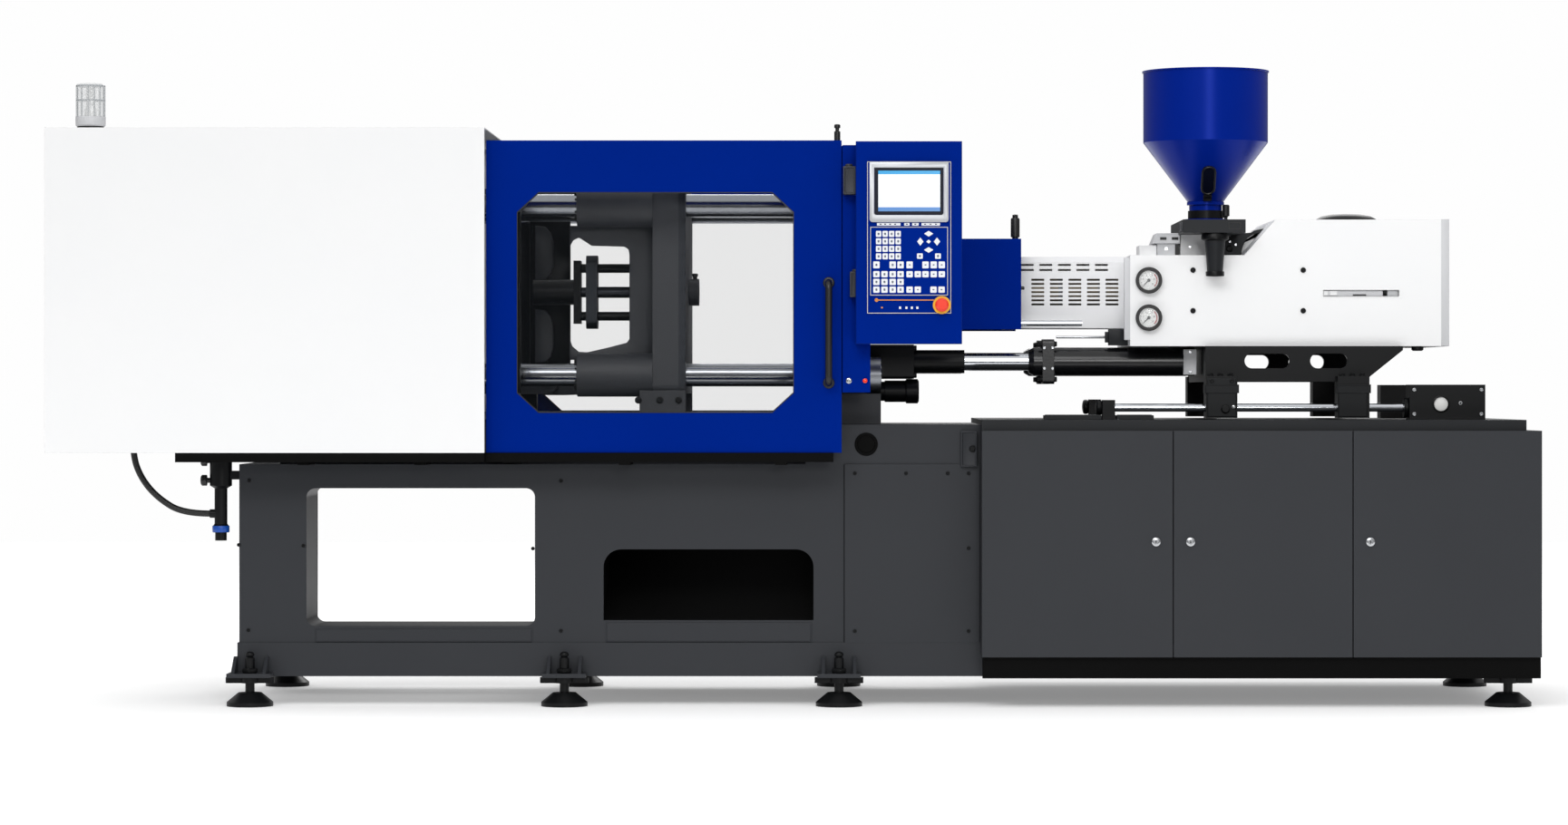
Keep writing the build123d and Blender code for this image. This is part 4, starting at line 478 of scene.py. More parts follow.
def plate(name, outline, low_y, high_y):
    """A flat piece facing the operator: a disc's corners are moved to the outline, then it is extruded."""
    put_away()
    bpy.ops.mesh.primitive_circle_add(vertices=len(outline), radius=1, fill_type="NGON")
    for corner, (x, z) in zip(bpy.context.object.data.vertices, outline):
        corner.co = (x, low_y, z)
    bpy.ops.object.mode_set(mode="EDIT")
    bpy.ops.mesh.select_all(action="SELECT")
    extrude((0, high_y - low_y, 0))
    face_outwards()
    return settle(name)


def pick(piece, test):
    """Opens the piece in edit mode with the faces selected that pass the test."""
    take_up(piece)
    bpy.ops.object.mode_set(mode="EDIT")
    bpy.ops.mesh.select_mode(type="FACE")
    bpy.ops.mesh.select_all(action="DESELECT")
    bpy.ops.object.mode_set(mode="OBJECT")
    for face in piece.data.polygons:
        face.select = test(face)
    bpy.ops.object.mode_set(mode="EDIT")


def facing(direction):
    """A test for the faces that look along a direction."""
    return lambda face: face.normal.dot(Vector(direction)) > ALIGNED


def recess(piece, direction, margin, depth):
    """Insets the faces that look along a direction and sinks them; a negative depth raises them."""
    pick(piece, facing(direction))
    bpy.ops.mesh.inset(thickness=margin)
    extrude(Vector(direction) * -depth)
    bpy.ops.object.mode_set(mode="OBJECT")
    return piece


def open_up(piece, axis, area):
    """Takes the end discs, which are larger than an area, off a turned ring, so that one can see through."""
    pick(piece, lambda face: abs(face.normal[axis]) > ALIGNED and face.area > area)
    bpy.ops.mesh.delete(type="FACE")
    put_away()
    return piece


def soften(piece, width, segments=2):
    """Rounds the piece's edges and smooths its shading."""
    take_up(piece)
    edge = piece.modifiers.new("edge", "BEVEL")
    edge.width = width
    edge.segments = segments
    edge.limit_method = "ANGLE"
    edge.angle_limit = ROUNDED_FROM
    bpy.ops.object.modifier_apply(modifier="edge")
    bpy.ops.object.shade_smooth_by_angle(angle=SMOOTH_BELOW)
    return piece


def paint(piece, material):
    """Gives the piece one material."""
    piece.data.materials.clear()
    piece.data.materials.append(material)
    return piece


def join(name, pieces):
    """Joins pieces into one and names it."""
    put_away()
    for piece in pieces:
        piece.select_set(True)
    bpy.context.view_layer.objects.active = pieces[0]
    bpy.ops.object.join()
    return settle(name)


def repeat(name, piece, placings):
    """Copies a piece, made at the origin, once for each placing matrix, and joins the copies."""
    copies = []
    for placing in placings:
        twin = bpy.data.objects.new(name, piece.data.copy())
        twin.data.transform(placing)
        bpy.context.scene.collection.objects.link(twin)
        copies.append(twin)
    bpy.data.objects.remove(piece)
    return join(name, copies)


def add_to(piece, body, finish=None):
    """Makes a finished piece ride a body."""
    if finish:
        paint(piece, finish)
    take_up(piece)
    bpy.ops.object.shade_smooth_by_angle(angle=SMOOTH_BELOW)
    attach(piece, body)
    print(piece.name, "rides", body, "with", len(piece.data.polygons), "faces")
    return piece


def add_spread(name, piece, places, body, finish=None):
    """Copies a piece to several places, joins the copies and puts them on a body."""
    return add_to(repeat(name, piece, [Matrix.Translation(place) for place in places]), body, finish)


def add_block(name, low, high, finish, body, side, margin, depth, edge=0.0, segments=2):
    """A block on a body: the face on one side is inset by a margin and sunk, and its edges can be rounded."""
    piece = recess(block(name, low, high), side, margin, depth)
    if edge:
        soften(piece, edge, segments)
    return add_to(piece, body, finish)


def add_pair(name, low, high, finish, body, margin, depth, edge=0.0, segments=2):
    """A block on the far side and its mirror image on the operator's side; low and high are the far one's."""
    for side, hand in (("front", -1), ("rear", 1)):
        near, far = sorted((hand * low[1], hand * high[1]))
        add_block(f"{name}_{side}", (low[0], near, low[2]), (high[0], far, high[2]), finish, body, (0, hand, 0),
                  margin, depth, edge, segments)


def add_turned(name, rings, finish, body, at=(0, 0, 0), along=UP, sides=32, places=None):
    """A turned piece on a body, or joined copies of it at several places."""
    piece = turned(name, rings, at, along, sides)
    return add_spread(name, piece, places, body, finish) if places else add_to(piece, body, finish)


print("modelling helpers ready")

# %% [markdown]
# Screws are everywhere on such a machine, and mostly of two kinds: socket heads, which are short cylinders
# with a hole, and hexagon heads on a washer. Each kind is modelled once at the origin, facing its own way,
# and copied to its places. The places along the bed were measured in the picture, so one function turns a
# point of the picture into a place on a plane that faces the camera.

# %% Screws
# on the doors' plane one pixel of the picture is 3.1 mm, and the camera looks straight at this point of it
PIXEL_SIZE, PIXEL_PLANE_Y = 0.0031, -0.6
AHEAD_PX = (920, 430)


def socket_head(name, radius, height, along=OUT, finish=black_coat):
    """A socket screw's head with its rounded rim and its hole."""
    return paint(turned(name, (
        (radius, 0), (radius, height * 0.8), (radius * 0.86, height), (radius * 0.5, height),
        (radius * 0.45, height * 0.45),
    ), along=along, sides=16), finish)


def hex_head(name, radius, height, along=UP, finish=black_coat):
    """A hexagon head on its washer."""
    washer = turned(name + "_washer", ((radius * 1.25, 0), (radius * 1.25, height * 0.2)), along=along, sides=16)
    head = turned(name, ((radius, height * 0.2), (radius, height * 0.85), (radius * 0.85, height)), along=along,
                  sides=6)
    return paint(join(name, [head, washer]), finish)


def seen_at(px, py, y):
    """The X and Z of a point of the picture, on a plane that faces the camera at the place y."""
    scale = PIXEL_SIZE * (y - CAMERA_PLACE[1]) / (PIXEL_PLANE_Y - CAMERA_PLACE[1])
    return CAMERA_PLACE[0] + (px - AHEAD_PX[0]) * scale, CAMERA_PLACE[2] + (AHEAD_PX[1] - py) * scale


def on_plane(points, y):
    """Points of the picture as places on the plane y."""
    return [(x, y, z) for x, z in [seen_at(px, py, y) for px, py in points]]


BED_FACE = -0.450
add_spread("bed_screws", socket_head("bed_screw", 0.0065, 0.004), on_plane((
    (274.8, 530), (263.4, 601), (334.7, 602), (587.7, 605), (274, 695), (618.6, 530.4), (618.6, 695.6),
), BED_FACE), "frame")
add_spread("panel_screws", socket_head("panel_screw", 0.0065, 0.004), on_plane((
    (942.6, 522), (999, 522), (1045, 522), (942.6, 696), (1068, 522), (1068, 604.6), (1068, 696),
), BED_FACE - 0.006), "frame")

# %% [markdown]
# A welded bed isn't one plain box. Under each opening lies a folded ledge panel, a rubber ring lines the
# cable hole, and a bracket at the end ties the bed to the cabinet. The ledge panels start as blocks; their
# front faces are inset and raised, which gives the shallow step of a folded edge.

# %% Bed trim
for number, (left, right, top) in enumerate(((-1.656, -0.907, 0.262), (-0.653, 0.058, 0.284)), 1):
    add_block(f"ledge_panel_{number}", (left, BED_FACE - 0.003, 0.2165), (right, BED_FACE + 0.001, top), slate_coat,
              "frame", OUT, 0.004, -0.002, edge=0.001, segments=1)
add_turned("cable_grommet", ((0.040, 0), (0.040, 0.003), (0.037, 0.005), (0.031, 0.004), (0.029, 0.0008)),
           black_and_shade_coat, "frame", (0.246, BED_FACE, 0.900), OUT)
add_block("tie_bracket", (0.572, BED_FACE - 0.022, 0.822), (0.628, BED_FACE + 0.001, 0.946), slate_coat, "frame",
          OUT, 0.006, 0.004, edge=0.003)
add_spread("tie_bracket_bolt", hex_head("bolt", 0.010, 0.008, OUT), on_plane(((1072.4, 495),), -0.468), "frame")
add_block("bed_seam", (0.1685, BED_FACE - 0.0012, 0.2165), (0.1705, BED_FACE, 0.830), black_coat, "frame",
          OUT, 0.0004, 0.0006)
# a near-black strip along the cabinet's foot paints the shade under the cabinet doors
add_block("cabinet_foot_shade_strip", (0.6425, -0.5840, 0.100), (2.5540, -0.5790, 0.1725), black_and_shade_coat, "frame",
          OUT, 0.004, 0.0015, edge=0.001, segments=1)

# %% [markdown]
# A levelling foot is locked by a nut on its lug, and the spindle ends in a ball that a spanner can't slip
# off. The nut is a six-sided turned piece with bevelled corners.

# %% Nuts and spindle ends of the levelling feet
FOOT_X = (-1.875, -0.793, 0.152, 2.454)
FOOT_Y = (-0.501, 0.501)
add_turned("lock_nuts", ((0.024, 0), (0.028, 0.003), (0.028, 0.014), (0.024, 0.017), (0.0165, 0.017)), black_coat,
           "frame", sides=6, places=[(x, y, 0.1132) for x in FOOT_X for y in FOOT_Y])
add_turned("ball_ends", ((0.010, 0), (0.013, 0.002), (0.0155, 0.006), (0.0155, 0.010), (0.012, 0.015),
                         (0.006, 0.018), (0.001, 0.0185)), black_coat, "frame", sides=20,
           places=[(x, y, 0.169) for x in FOOT_X[:3] for y in FOOT_Y])

# %% [markdown]
# The cabinet doors shut with quarter-turn locks. Each has a plated cap with a slot for the key.

# %% Cabinet locks
for number, lock_x in ((1, 1.2355), (2, 1.3535), (3, 1.968)):
    add_turned("lock_cap", ((0.0150, 0), (0.0150, 0.003), (0.0135, 0.004), (0.0075, 0.004), (0.007, 0.0015)),
               plated_steel, f"cabinet_door_{number}", (lock_x, -0.604, 0.568), OUT)
    add_block(f"lock_key_{number}", (lock_x - 0.0012, -0.6075, 0.5635), (lock_x + 0.0012, -0.604, 0.5725),
              black_coat, f"cabinet_door_{number}", OUT, 0.0004, 0.0005)

# %% [markdown]
# The signal lamp on the cover is a clear ribbed drum over a white lamp post. The drum is turned as one
# closed piece and made mostly see-through. The ribs are thin upright strips: one is modelled, and the rest
# are copies turned about the lamp's axis.

# %% Signal lamp
LAMP_AT = (-2.411, -0.570, 0)
LENS_LOW, LENS_TOP, LENS_RADIUS = 2.023, 2.136, 0.049
RIBS = 14
drum = add_turned("signal_drum", (
    (LENS_RADIUS, LENS_LOW), (LENS_RADIUS, 2.0775), (LENS_RADIUS - 0.0015, 2.0790), (LENS_RADIUS, 2.0805),
    (LENS_RADIUS, 2.1290), (LENS_RADIUS - 0.003, LENS_TOP - 0.001), (LENS_RADIUS - 0.008, LENS_TOP),
), lens_clear, "frame", LAMP_AT, sides=48)
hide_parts("lamp_lens")
rib = block("drum_rib", (-0.0009, -LENS_RADIUS - 0.0006, LENS_LOW), (0.0009, -LENS_RADIUS + 0.001, 2.128))
recess(rib, OUT, 0.0003, -0.0004)
rib_turns = [Matrix.Translation(LAMP_AT) @ Matrix.Rotation(2 * pi * step / RIBS, 4, "Z") for step in range(RIBS)]
add_to(repeat("drum_ribs", rib, rib_turns), "frame", lens_line)
add_turned("lamp_post", ((0.020, LENS_LOW), (0.020, 2.052), (0.015, 2.055), (0.015, 2.118), (0.010, 2.124)),
           dial_white, "frame", LAMP_AT)
rims = [turned("drum_rim", list(zip((0.0494, 0.0500, 0.0500, 0.0494), heights)), LAMP_AT, sides=48)
        for heights in ((2.1265, 2.1275, 2.1300, 2.1310), (2.0775, 2.0783, 2.0800, 2.0808))]
add_to(join("drum_rims", rims), "frame", lens_line)
add_turned("lamp_seal", ((0.040, 1.982), (0.046, 1.984), (0.046, 1.988), (0.040, 1.990)), black_plastic, "frame",
           LAMP_AT)

# %% [markdown]
# The safety pane is held in a black rubber frame. A ring of faces is made by extruding an outline's edges
# towards the middle, and Solidify gives it its thickness.

# %% Door trim


def frame_strip(name, outline, width, y, depth, inner=None):
    """A flat frame facing the operator: it follows an outline inwards, or ends at an inner rectangle."""
    put_away()
    bpy.ops.mesh.primitive_circle_add(vertices=len(outline), radius=1, fill_type="NOTHING")
    for corner, (x, z) in zip(bpy.context.object.data.vertices, outline):
        corner.co = (x, y, z)
    xs, zs = [x for x, z in outline], [z for x, z in outline]
    left, right, low, high = inner or (min(xs) + width, max(xs) - width, min(zs) + width, max(zs) - width)
    shrink = ((right - left) / (max(xs) - min(xs)), 1, (high - low) / (max(zs) - min(zs)))
    centre = ((left - shrink[0] * min(xs)) / (1 - shrink[0]), y, (low - shrink[2] * min(zs)) / (1 - shrink[2]))
    bpy.ops.object.mode_set(mode="EDIT")
    bpy.ops.mesh.select_mode(type="EDGE")
    bpy.ops.mesh.select_all(action="SELECT")
    extrude((0, 0, 0))
    bpy.ops.transform.resize(value=shrink, center_override=centre)
    face_outwards()
    strip = settle(name)
    wall = strip.modifiers.new("wall", "SOLIDIFY")
    wall.thickness = depth
    wall.offset = 0
    bpy.ops.object.modifier_apply(modifier="wall")
    return strip


def box_outline(left, right, low, high):
    """The four corners of a rectangle."""
    return ((left, low), (right, low), (right, high), (left, high))


WINDOW = ((-0.875, 1.009), (-0.076, 1.009), (-0.002, 1.077), (-0.002, 1.696), (-0.076, 1.764), (-0.875, 1.764),
          (-0.949, 1.696), (-0.949, 1.077))
for side, pane_y in (("front", -0.5985), ("rear", 0.5985)):
    add_to(frame_strip(f"pane_seal_{side}", WINDOW, 0.003, pane_y, 0.004), f"{side}_safety_door", black_plastic)
add_turned("handle_flanges", ((0.020, 0), (0.020, 0.003), (0.0175, 0.006), (0.013, 0.007)), black_plastic,
           "front_safety_door", along=OUT, places=[(0.117, -0.600, 1.112), (0.117, -0.600, 1.454)])
add_turned("door_stop_post", ((0.0105, 1.941), (0.0105, 1.972), (0.0065, 1.975), (0.0065, 1.983), (0.0105, 1.985),
                              (0.0105, 1.994), (0.008, 1.997)), black_plastic, "front_safety_door",
           (0.146, -0.580, 0))

# %% [markdown]
# The moving platen is a deep casting, and the window shows it from the side. Between its upper and lower
# bar bushes runs a rib with a rounded opening, and behind the links stands a black web with two grey cheeks.
# A flat casting like this is drawn as an outline of corners and extruded, and its edges are then rounded.

# %% Ribs of the moving platen
RIB_PX = (
    (722, 249), (628, 249), (628, 272), (632, 265), (638, 262), (646, 267), (652, 271), (688, 272), (693, 275),
    (694, 281), (694, 374), (691, 378), (672, 383), (648, 388.5), (638, 388), (631, 382), (628, 374),
    (628, 397), (722, 397),
)
WEB_PX = ((629, 244), (584, 244), (584, 404), (629, 404))


def cast_plate(name, corners_px, near_y, far_y, finish, edge=0.004):
    """A flat casting from its corners in the picture."""
    outline = [seen_at(px, py, near_y) for px, py in corners_px]
    add_to(soften(plate(name, outline, far_y, near_y), edge), "moving_platen", finish)


cast_plate("platen_rib_front", RIB_PX, -0.2440, -0.2220, platen_paint)
cast_plate("platen_rib_rear", RIB_PX, 0.2220, 0.2440, platen_paint)
cast_plate("link_web", WEB_PX, 0.2240, 0.2420, black_coat)
for number, (top, bottom) in enumerate(((249, 309), (341, 400)), 1):
    cheek = ((590, top), (590, bottom), (602, bottom - 1), (607, bottom - 6), (610, bottom - 16), (610, top + 18),
             (607, top + 8), (601, top + 1))
    cast_plate(f"link_cheek_{number}", cheek, 0.2060, 0.2250, link_paint, 0.002)

# %% [markdown]
# The window also shows small parts against the light: the hardened edge of the mould face with its T-slots,
# a sensor knob on the ejector boss, the bolts of the bar bushes, and the posts that stiffen the cover.

# %% Clamp details
BUSH_BOLT_CIRCLE = 0.062
add_pair("mould_face_edge", (-0.405, 0.360, 1.100), (-0.3812, 0.3625, 1.770), burnished_steel, "moving_platen",
         0.002, -0.001)
notch = recess(block("t_slot", (-0.012, -0.0012, -0.007), (0, 0.001, 0.007)), OUT, 0.001, 0.001)
add_spread("t_slots", notch, [(-0.381, -0.3632, 1.135 + 0.06 * step) for step in range(11)], "moving_platen",
           black_coat)
add_turned("boss_sensor", ((0.008, 0), (0.008, 0.010), (0.011, 0.010), (0.011, 0.018), (0.008, 0.020)),
           black_plastic, "moving_platen", (-0.360, 0, 1.482))
add_pair("cover_post", (-1.010, 0.392, 0.831), (-0.950, 0.436, 1.900), black_coat, "frame", 0.008, 0.012, 0.002, 1)
add_spread("bush_bolts", hex_head("bush_bolt", 0.011, 0.009, LEFT), [
    (-0.760, side_y + BUSH_BOLT_CIRCLE * cos(a), level + BUSH_BOLT_CIRCLE * sin(a)) for side_y in (-0.295, 0.295)
    for level in (1.140, 1.730) for a in [pi / 4 + pi / 2 * quarter for quarter in range(4)]], "moving_platen")
add_spread("slide_foot_bolts", hex_head("slide_foot_bolt", 0.010, 0.008, OUT),
           [(x, -0.3600, 1.052) for x in (-0.545, -0.470, -0.405)], "moving_platen")

# %% [markdown]
# In the gap beside the door, two grey arms carry the control box; their round caps are a guess. The fixed
# guard has a key switch and a small button. The stationary platen's foot shows below it with a large bolt.

# %% Fixed guard and box arms
for number, (left, low, high) in enumerate(((0.166, 1.754, 1.850), (0.189, 1.404, 1.491)), 1):
    arm = recess(block(f"box_arm_{number}", (left, -0.655, low), (0.2095, -0.6005, high)), OUT, 0.006, 0.004)
    cap = turned("arm_cap", ((0.013, 0), (0.013, 0.006), (0.010, 0.009)), (left + 0.020, -0.628, high))
    add_to(soften(join(f"box_arm_{number}", [arm, cap]), 0.002), "frame", platen_paint)
add_block("guard_gap_strip", (0.140, -0.5565, 1.080), (0.180, -0.5525, 1.925), blue_coat, "frame", OUT, 0.003, 0.001)
add_turned("key_switch", ((0.0095, 0), (0.0095, 0.004), (0.008, 0.005), (0.005, 0.005), (0.0045, 0.002)),
           plated_steel, "frame", (0.1856, -0.600, 1.119), OUT)
add_turned("small_button", ((0.0085, 0), (0.0085, 0.004), (0.0075, 0.007), (0.004, 0.008)), stop_red, "frame",
           (0.241, -0.600, 1.119), OUT)
add_spread("platen_foot_bolts", hex_head("foot_bolt", 0.018, 0.016),
           [(0.274, -0.310, 1.075 - 0.108), (0.274, 0.310, 1.075 - 0.108)], "frame")

# %% [markdown]
# The operator's panel is a blue metal plate with printed outlines. Above, a silver bezel with round lower
# corners holds the dark glass of the display, with a plain page lit on it.

# %% Display
PAGE_Y = -0.698
PAGE_LEFT, PAGE_RIGHT = 0.2851, 0.4953
for name, finish, low, high in (("display_page_area", page_white, 1.7080, 1.8200),
                                ("display_heading_bar", heading_blue, 1.8200, 1.8324),
                                ("display_foot_bar", foot_blue, 1.6943, 1.7080)):
    add_block(name, (PAGE_LEFT, PAGE_Y - 0.0004, low), (PAGE_RIGHT, PAGE_Y + 0.0004, high), finish, "frame",
              OUT, 0.0004, 0.0001)
for name, outline, y in (("panel_outline", box_outline(0.2475, 0.5325, 1.3475, 1.8635), -0.6945),
                         ("keypad_outline", box_outline(0.2580, 0.5216, 1.4086, 1.6415), -0.6964)):
    add_to(frame_strip(name, outline, 0.0022, y, 0.0010), "frame", outline_ink)
BEZEL = (0.2554, 0.5242, 1.6574, 1.8616)
BEZEL_CORNER = 0.010
CORNER = [(BEZEL_CORNER * (1 - cos(a)), BEZEL_CORNER * (1 - sin(a))) for a in [pi / 2 * k / 4 for k in range(5)]]
bezel_line = [(BEZEL[0] + dx, BEZEL[2] + dz) for dx, dz in CORNER]
bezel_line += [(BEZEL[1] - dx, BEZEL[2] + dz) for dx, dz in CORNER[::-1]]
bezel_line += [(BEZEL[1], BEZEL[3]), (BEZEL[0], BEZEL[3])]
bezel = frame_strip("display_bezel", bezel_line, 0, -0.69825, 0.0095, inner=(0.2714, 0.5066, 1.6814, 1.8424))
add_to(soften(bezel, 0.0015), "frame", bezel_plastic)
print("display ready")

# %% [markdown]
# Below the display, a blue foil carries white keys. Foil keys stand hardly a millimetre high, so each is a
# thin rounded plate with a printed mark. Four long soft keys lie under the display, and five diamonds
# make a cursor cross.

# %% Keys
KEY_FACE = -0.696
KEY_BACK_Y, KEY_FRONT_Y = KEY_FACE + 0.0002, KEY_FACE - 0.0012
SOFT_KEY_Y = -0.694
HALF_PIXEL = 0.00154
keys = []
marks = []


def rounded(left, right, low, high, radius, steps=3):
    """A rectangle's outline with rounded corners."""
    corners = ((right - radius, high - radius), (left + radius, high - radius), (left + radius, low + radius),
               (right - radius, low + radius))
    return [(x + radius * cos(a), z + radius * sin(a)) for quarter, (x, z) in enumerate(corners)
            for a in [pi / 2 * (quarter + step / steps) for step in range(steps + 1)]]


def add_key(px, py, width, height, mark_height=0.0035):
    """One key at a point of the picture, with its printed mark; width and height are in its pixels."""
    x, z = seen_at(px, py, KEY_FACE)
    half_x, half_z = width * HALF_PIXEL, height * HALF_PIXEL
    outline = rounded(x - half_x, x + half_x, z - half_z, z + half_z, 0.0026)
    keys.append(soften(plate("key", outline, KEY_BACK_Y, KEY_FRONT_Y), 0.0004, 1))
    sign = block("mark", (x - 0.0028, KEY_FACE - 0.0014, z - mark_height),
                 (x + 0.0028, KEY_FACE - 0.0011, z + mark_height))
    marks.append(recess(sign, OUT, 0.0012, 0.0002))


for py in (258, 266.2, 274.5, 282.8):
    for px in (968.8, 976.0, 983.2, 990.4):
        add_key(px, py, 5.9, 6.6)
for py, height, columns in ((292.2, 7.6, (966.4, 984.3, 993, 1003, 1020.5, 1029.5, 1038.4)),
                            (302.5, 6.8, (966.4, 975.3, 984.3, 993, 1003, 1012, 1020.5, 1029.5, 1038.4)),
                            (311, 6.8, (966.4, 975.3, 984.3, 993)),
                            (319.5, 6.8, (966.4, 975.3, 984.3, 993, 1003, 1012, 1029.3, 1038.2))):
    for px in columns:
        add_key(px, py, 7.0, height, 0.0018 if px > 1000 else 0.0035)
for px in (1014.3, 1034.3):
    add_key(px, 282.5, 6.4, 6.0)
for left, right in ((967, 993), (997, 1003), (1005.7, 1013), (1016, 1036.5)):
    x_left, z_low = seen_at(left, 249.0, SOFT_KEY_Y)
    x_right, z_high = seen_at(right, 245.8, SOFT_KEY_Y)
    keys.append(soften(block("soft_keys", (x_left, -0.6952, z_low), (x_right, -0.6935, z_high)), 0.0006, 1))
for px in (971, 976, 981.5, 987, 1000, 1009.3, 1020, 1026, 1032):
    x, z = seen_at(px, 247.4, SOFT_KEY_Y)
    marks.append(recess(block("mark", (x - 0.0030, -0.6954, z - 0.0018), (x + 0.0030, -0.6951, z + 0.0018)), OUT,
                        0.0008, 0.0001))
for px, py, wide, tall in ((1024, 257.8, 0.016, 0.010), (1024, 275.7, 0.016, 0.010), (1014.8, 266.5, 0.011, 0.014),
                           (1033.2, 266.5, 0.011, 0.014), (1024, 266.5, 0.008, 0.007)):
    x, z = seen_at(px, py, KEY_FACE)
    diamond = [(x - wide, z), (x, z - tall), (x + wide, z), (x, z + tall)]
    keys.append(soften(plate("arrow_key", diamond, KEY_BACK_Y, KEY_FRONT_Y), 0.0006, 1))
add_to(join("foil_keys", keys), "frame", key_white)
add_to(join("key_marks", marks), "frame", key_ink)

# %% [markdown]
# Under the keys runs an orange line that starts at a small ring, perhaps the rim of a covered data socket.
# Below it are an orange mark, four small white marks and the emergency stop, whose red mushroom head stands
# in a yellow collar.

# %% Panel foot
line = recess(block("data_socket_flap", (0.2838, -0.6957, 1.3912), (0.4748, -0.6938, 1.3948)), OUT, 0.0008, 0.0006)
line_ring = turned("line_ring", ((0.0062, -0.0002), (0.0062, 0.0012), (0.0054, 0.0018), (0.0044, 0.0018),
                                 (0.0038, 0.0004)), (0.2790, -0.694, 1.3930), OUT, 24)
add_to(join("data_socket_flap", [line, line_ring]), "frame", slot_orange)
add_block("orange_mark", (0.2945, -0.6950, 1.3650), (0.3010, -0.6938, 1.3695), slot_orange, "frame",
          OUT, 0.0010, 0.0003)
small_mark = recess(block("panel_mark", (-0.0035, -0.0006, -0.004), (0.0035, 0.0004, 0.004)), OUT, 0.0010, 0.0003)
add_spread("panel_marks", small_mark, on_plane([(px, 339.5) for px in (992.5, 999.5, 1005.5, 1011.5)], -0.6942),
           "frame", key_white)
add_turned("stop_collar", ((0.0306, 0.0118), (0.0306, 0.0010), (0.0296, -0.0004), (0.0130, -0.0004)),
           collar_yellow, "frame", (0.5008, -0.706, 1.376), BACK, 40)

# %% [markdown]
# The two pressure gauges are black cups. Each gets a white dial with eleven long ticks and four short ones
# between each two, an arc in red for the pressures to avoid, plain numbers, and a glass. The red arc and the
# ticks are thin blocks turned about the dial's centre.

# %% Gauges
GAUGE_X, DIAL_Y = 1.230, -0.3440
FIRST_DEG, SWEEP_DEG, TICKS, RED_FROM, NUMBERS = -135, 270, 50, 33, 6
TICK_END, NUMBER_CIRCLE, NUMBER_SIZE = 0.0305, 0.0190, 0.0085
for gauge_z, level in ((1.469, "upper"), (1.339, "lower")):
    centre = Vector((GAUGE_X, DIAL_Y, gauge_z))
    add_turned(f"{level}_dial", ((0.0402, 0), (0.0402, 0.00010), (0.038, 0.00015)), dial_white, "carriage", centre,
               OUT, 40)
    ticks, arc = [], []
    for step in range(TICKS + 1):
        turn = Matrix.Translation(centre) @ Matrix.Rotation(radians(FIRST_DEG + SWEEP_DEG * step / TICKS), 4, "Y")
        half, start = (0.0006, 0.0255) if step % 5 == 0 else (0.0003, 0.0280)
        ticks.append(block("tick", (-half, -0.00025, start), (half, -0.0001, TICK_END)))
        ticks[-1].data.transform(turn)
        if step >= RED_FROM:
            arc.append(block("sector", (-0.0012, -0.00020, 0.0262), (0.0012, -0.00008, TICK_END)))
            arc[-1].data.transform(turn)
    add_to(join(f"{level}_ticks", ticks), "carriage", dial_ink)
    add_to(join(f"{level}_red_arc", arc), "carriage", dial_red)
    numbers = []
    for step in range(NUMBERS):
        angle = radians(FIRST_DEG + 54 * step)
        place = Vector((NUMBER_CIRCLE * sin(angle), -0.0002, NUMBER_CIRCLE * cos(angle) - 0.0022))
        put_away()
        bpy.ops.object.text_add(location=centre + place, rotation=(radians(90), 0, 0))
        label = bpy.context.object
        label.data.body = str(5 * step)
        label.data.size = NUMBER_SIZE
        label.data.align_x = "CENTER"
        label.data.extrude = 0.00004
        bpy.ops.object.convert(target="MESH")
        numbers.append(settle("number"))
    add_to(join(f"{level}_numbers", numbers), "carriage", dial_ink)
    add_turned(f"{level}_hub", ((0.0055, 0), (0.0055, 0.0015), (0.003, 0.002)), dial_ink, f"{level}_needle",
               centre + Vector((0, -0.0022, 0)), OUT, 24)
    rim = turned(f"{level}_rim", ((0.0452, 0), (0.0462, 0.001), (0.0462, 0.004), (0.0445, 0.006), (0.0362, 0.006),
                                  (0.0336, -0.0035)), centre + Vector((0, -0.0040, 0)), OUT, 48)
    add_to(open_up(rim, 1, 0.003), "carriage", black_plastic)
    add_turned(f"{level}_glass", ((0.0342, 0), (0.0342, 0.0006), (0.032, 0.0010)), gauge_glass, "carriage",
               centre + Vector((0, -0.0055, 0)), OUT, 40)

# %% [markdown]
# The white housing is held by four dark screws. Behind its slot runs a pale shutter with a white pointer
# flag: both move with the screw drive and show its stroke. A light end cap closes the housing on the right,
# and a low black fan dome stands on top.

# %% Housing details
HOUSING_FACE = -0.330
add_spread("housing_screws", socket_head("housing_screw", 0.0095, 0.005),
           [(x, HOUSING_FACE, z) for x in (1.3846, 1.7683) for z in (1.5048, 1.3634)], "carriage")
add_to(frame_strip("slot_frame", box_outline(1.832, 2.112, 1.407, 1.443), 0.0075, HOUSING_FACE + 0.0004, 0.0016),
       "carriage", housing_white_painted_light)
# a thin black line round the slot paints the shade on its inner edge
add_to(frame_strip("slot_edge_shade", box_outline(1.8375, 2.1000, 1.4125, 1.4357), 0.0013, HOUSING_FACE, 0.0012),
       "carriage", dial_ink)
add_block("slot_shutter", (1.632, -0.3238, 1.4040), (2.046, -0.3222, 1.4460), pale_coat, "thrust_unit",
          OUT, 0.002, 0.0004)
slot_back = recess(block("slot_back", (2.0625, -0.3208, 1.4040), (2.1120, -0.3190, 1.4490)), OUT, 0.002, 0.0004)
slot_ledge = recess(block("slot_ledge", (2.0625, -0.3272, 1.4470), (2.1120, -0.3190, 1.4520)), UP, 0.001, 0.0004)
add_to(join("slot_back", [slot_back, slot_ledge]), "carriage", pale_coat)
add_block("pointer_flag", (1.8415, -0.3268, 1.4168), (1.8870, -0.3236, 1.4335), white_coat, "thrust_unit",
          OUT, 0.002, -0.0004, 0.001, 1)
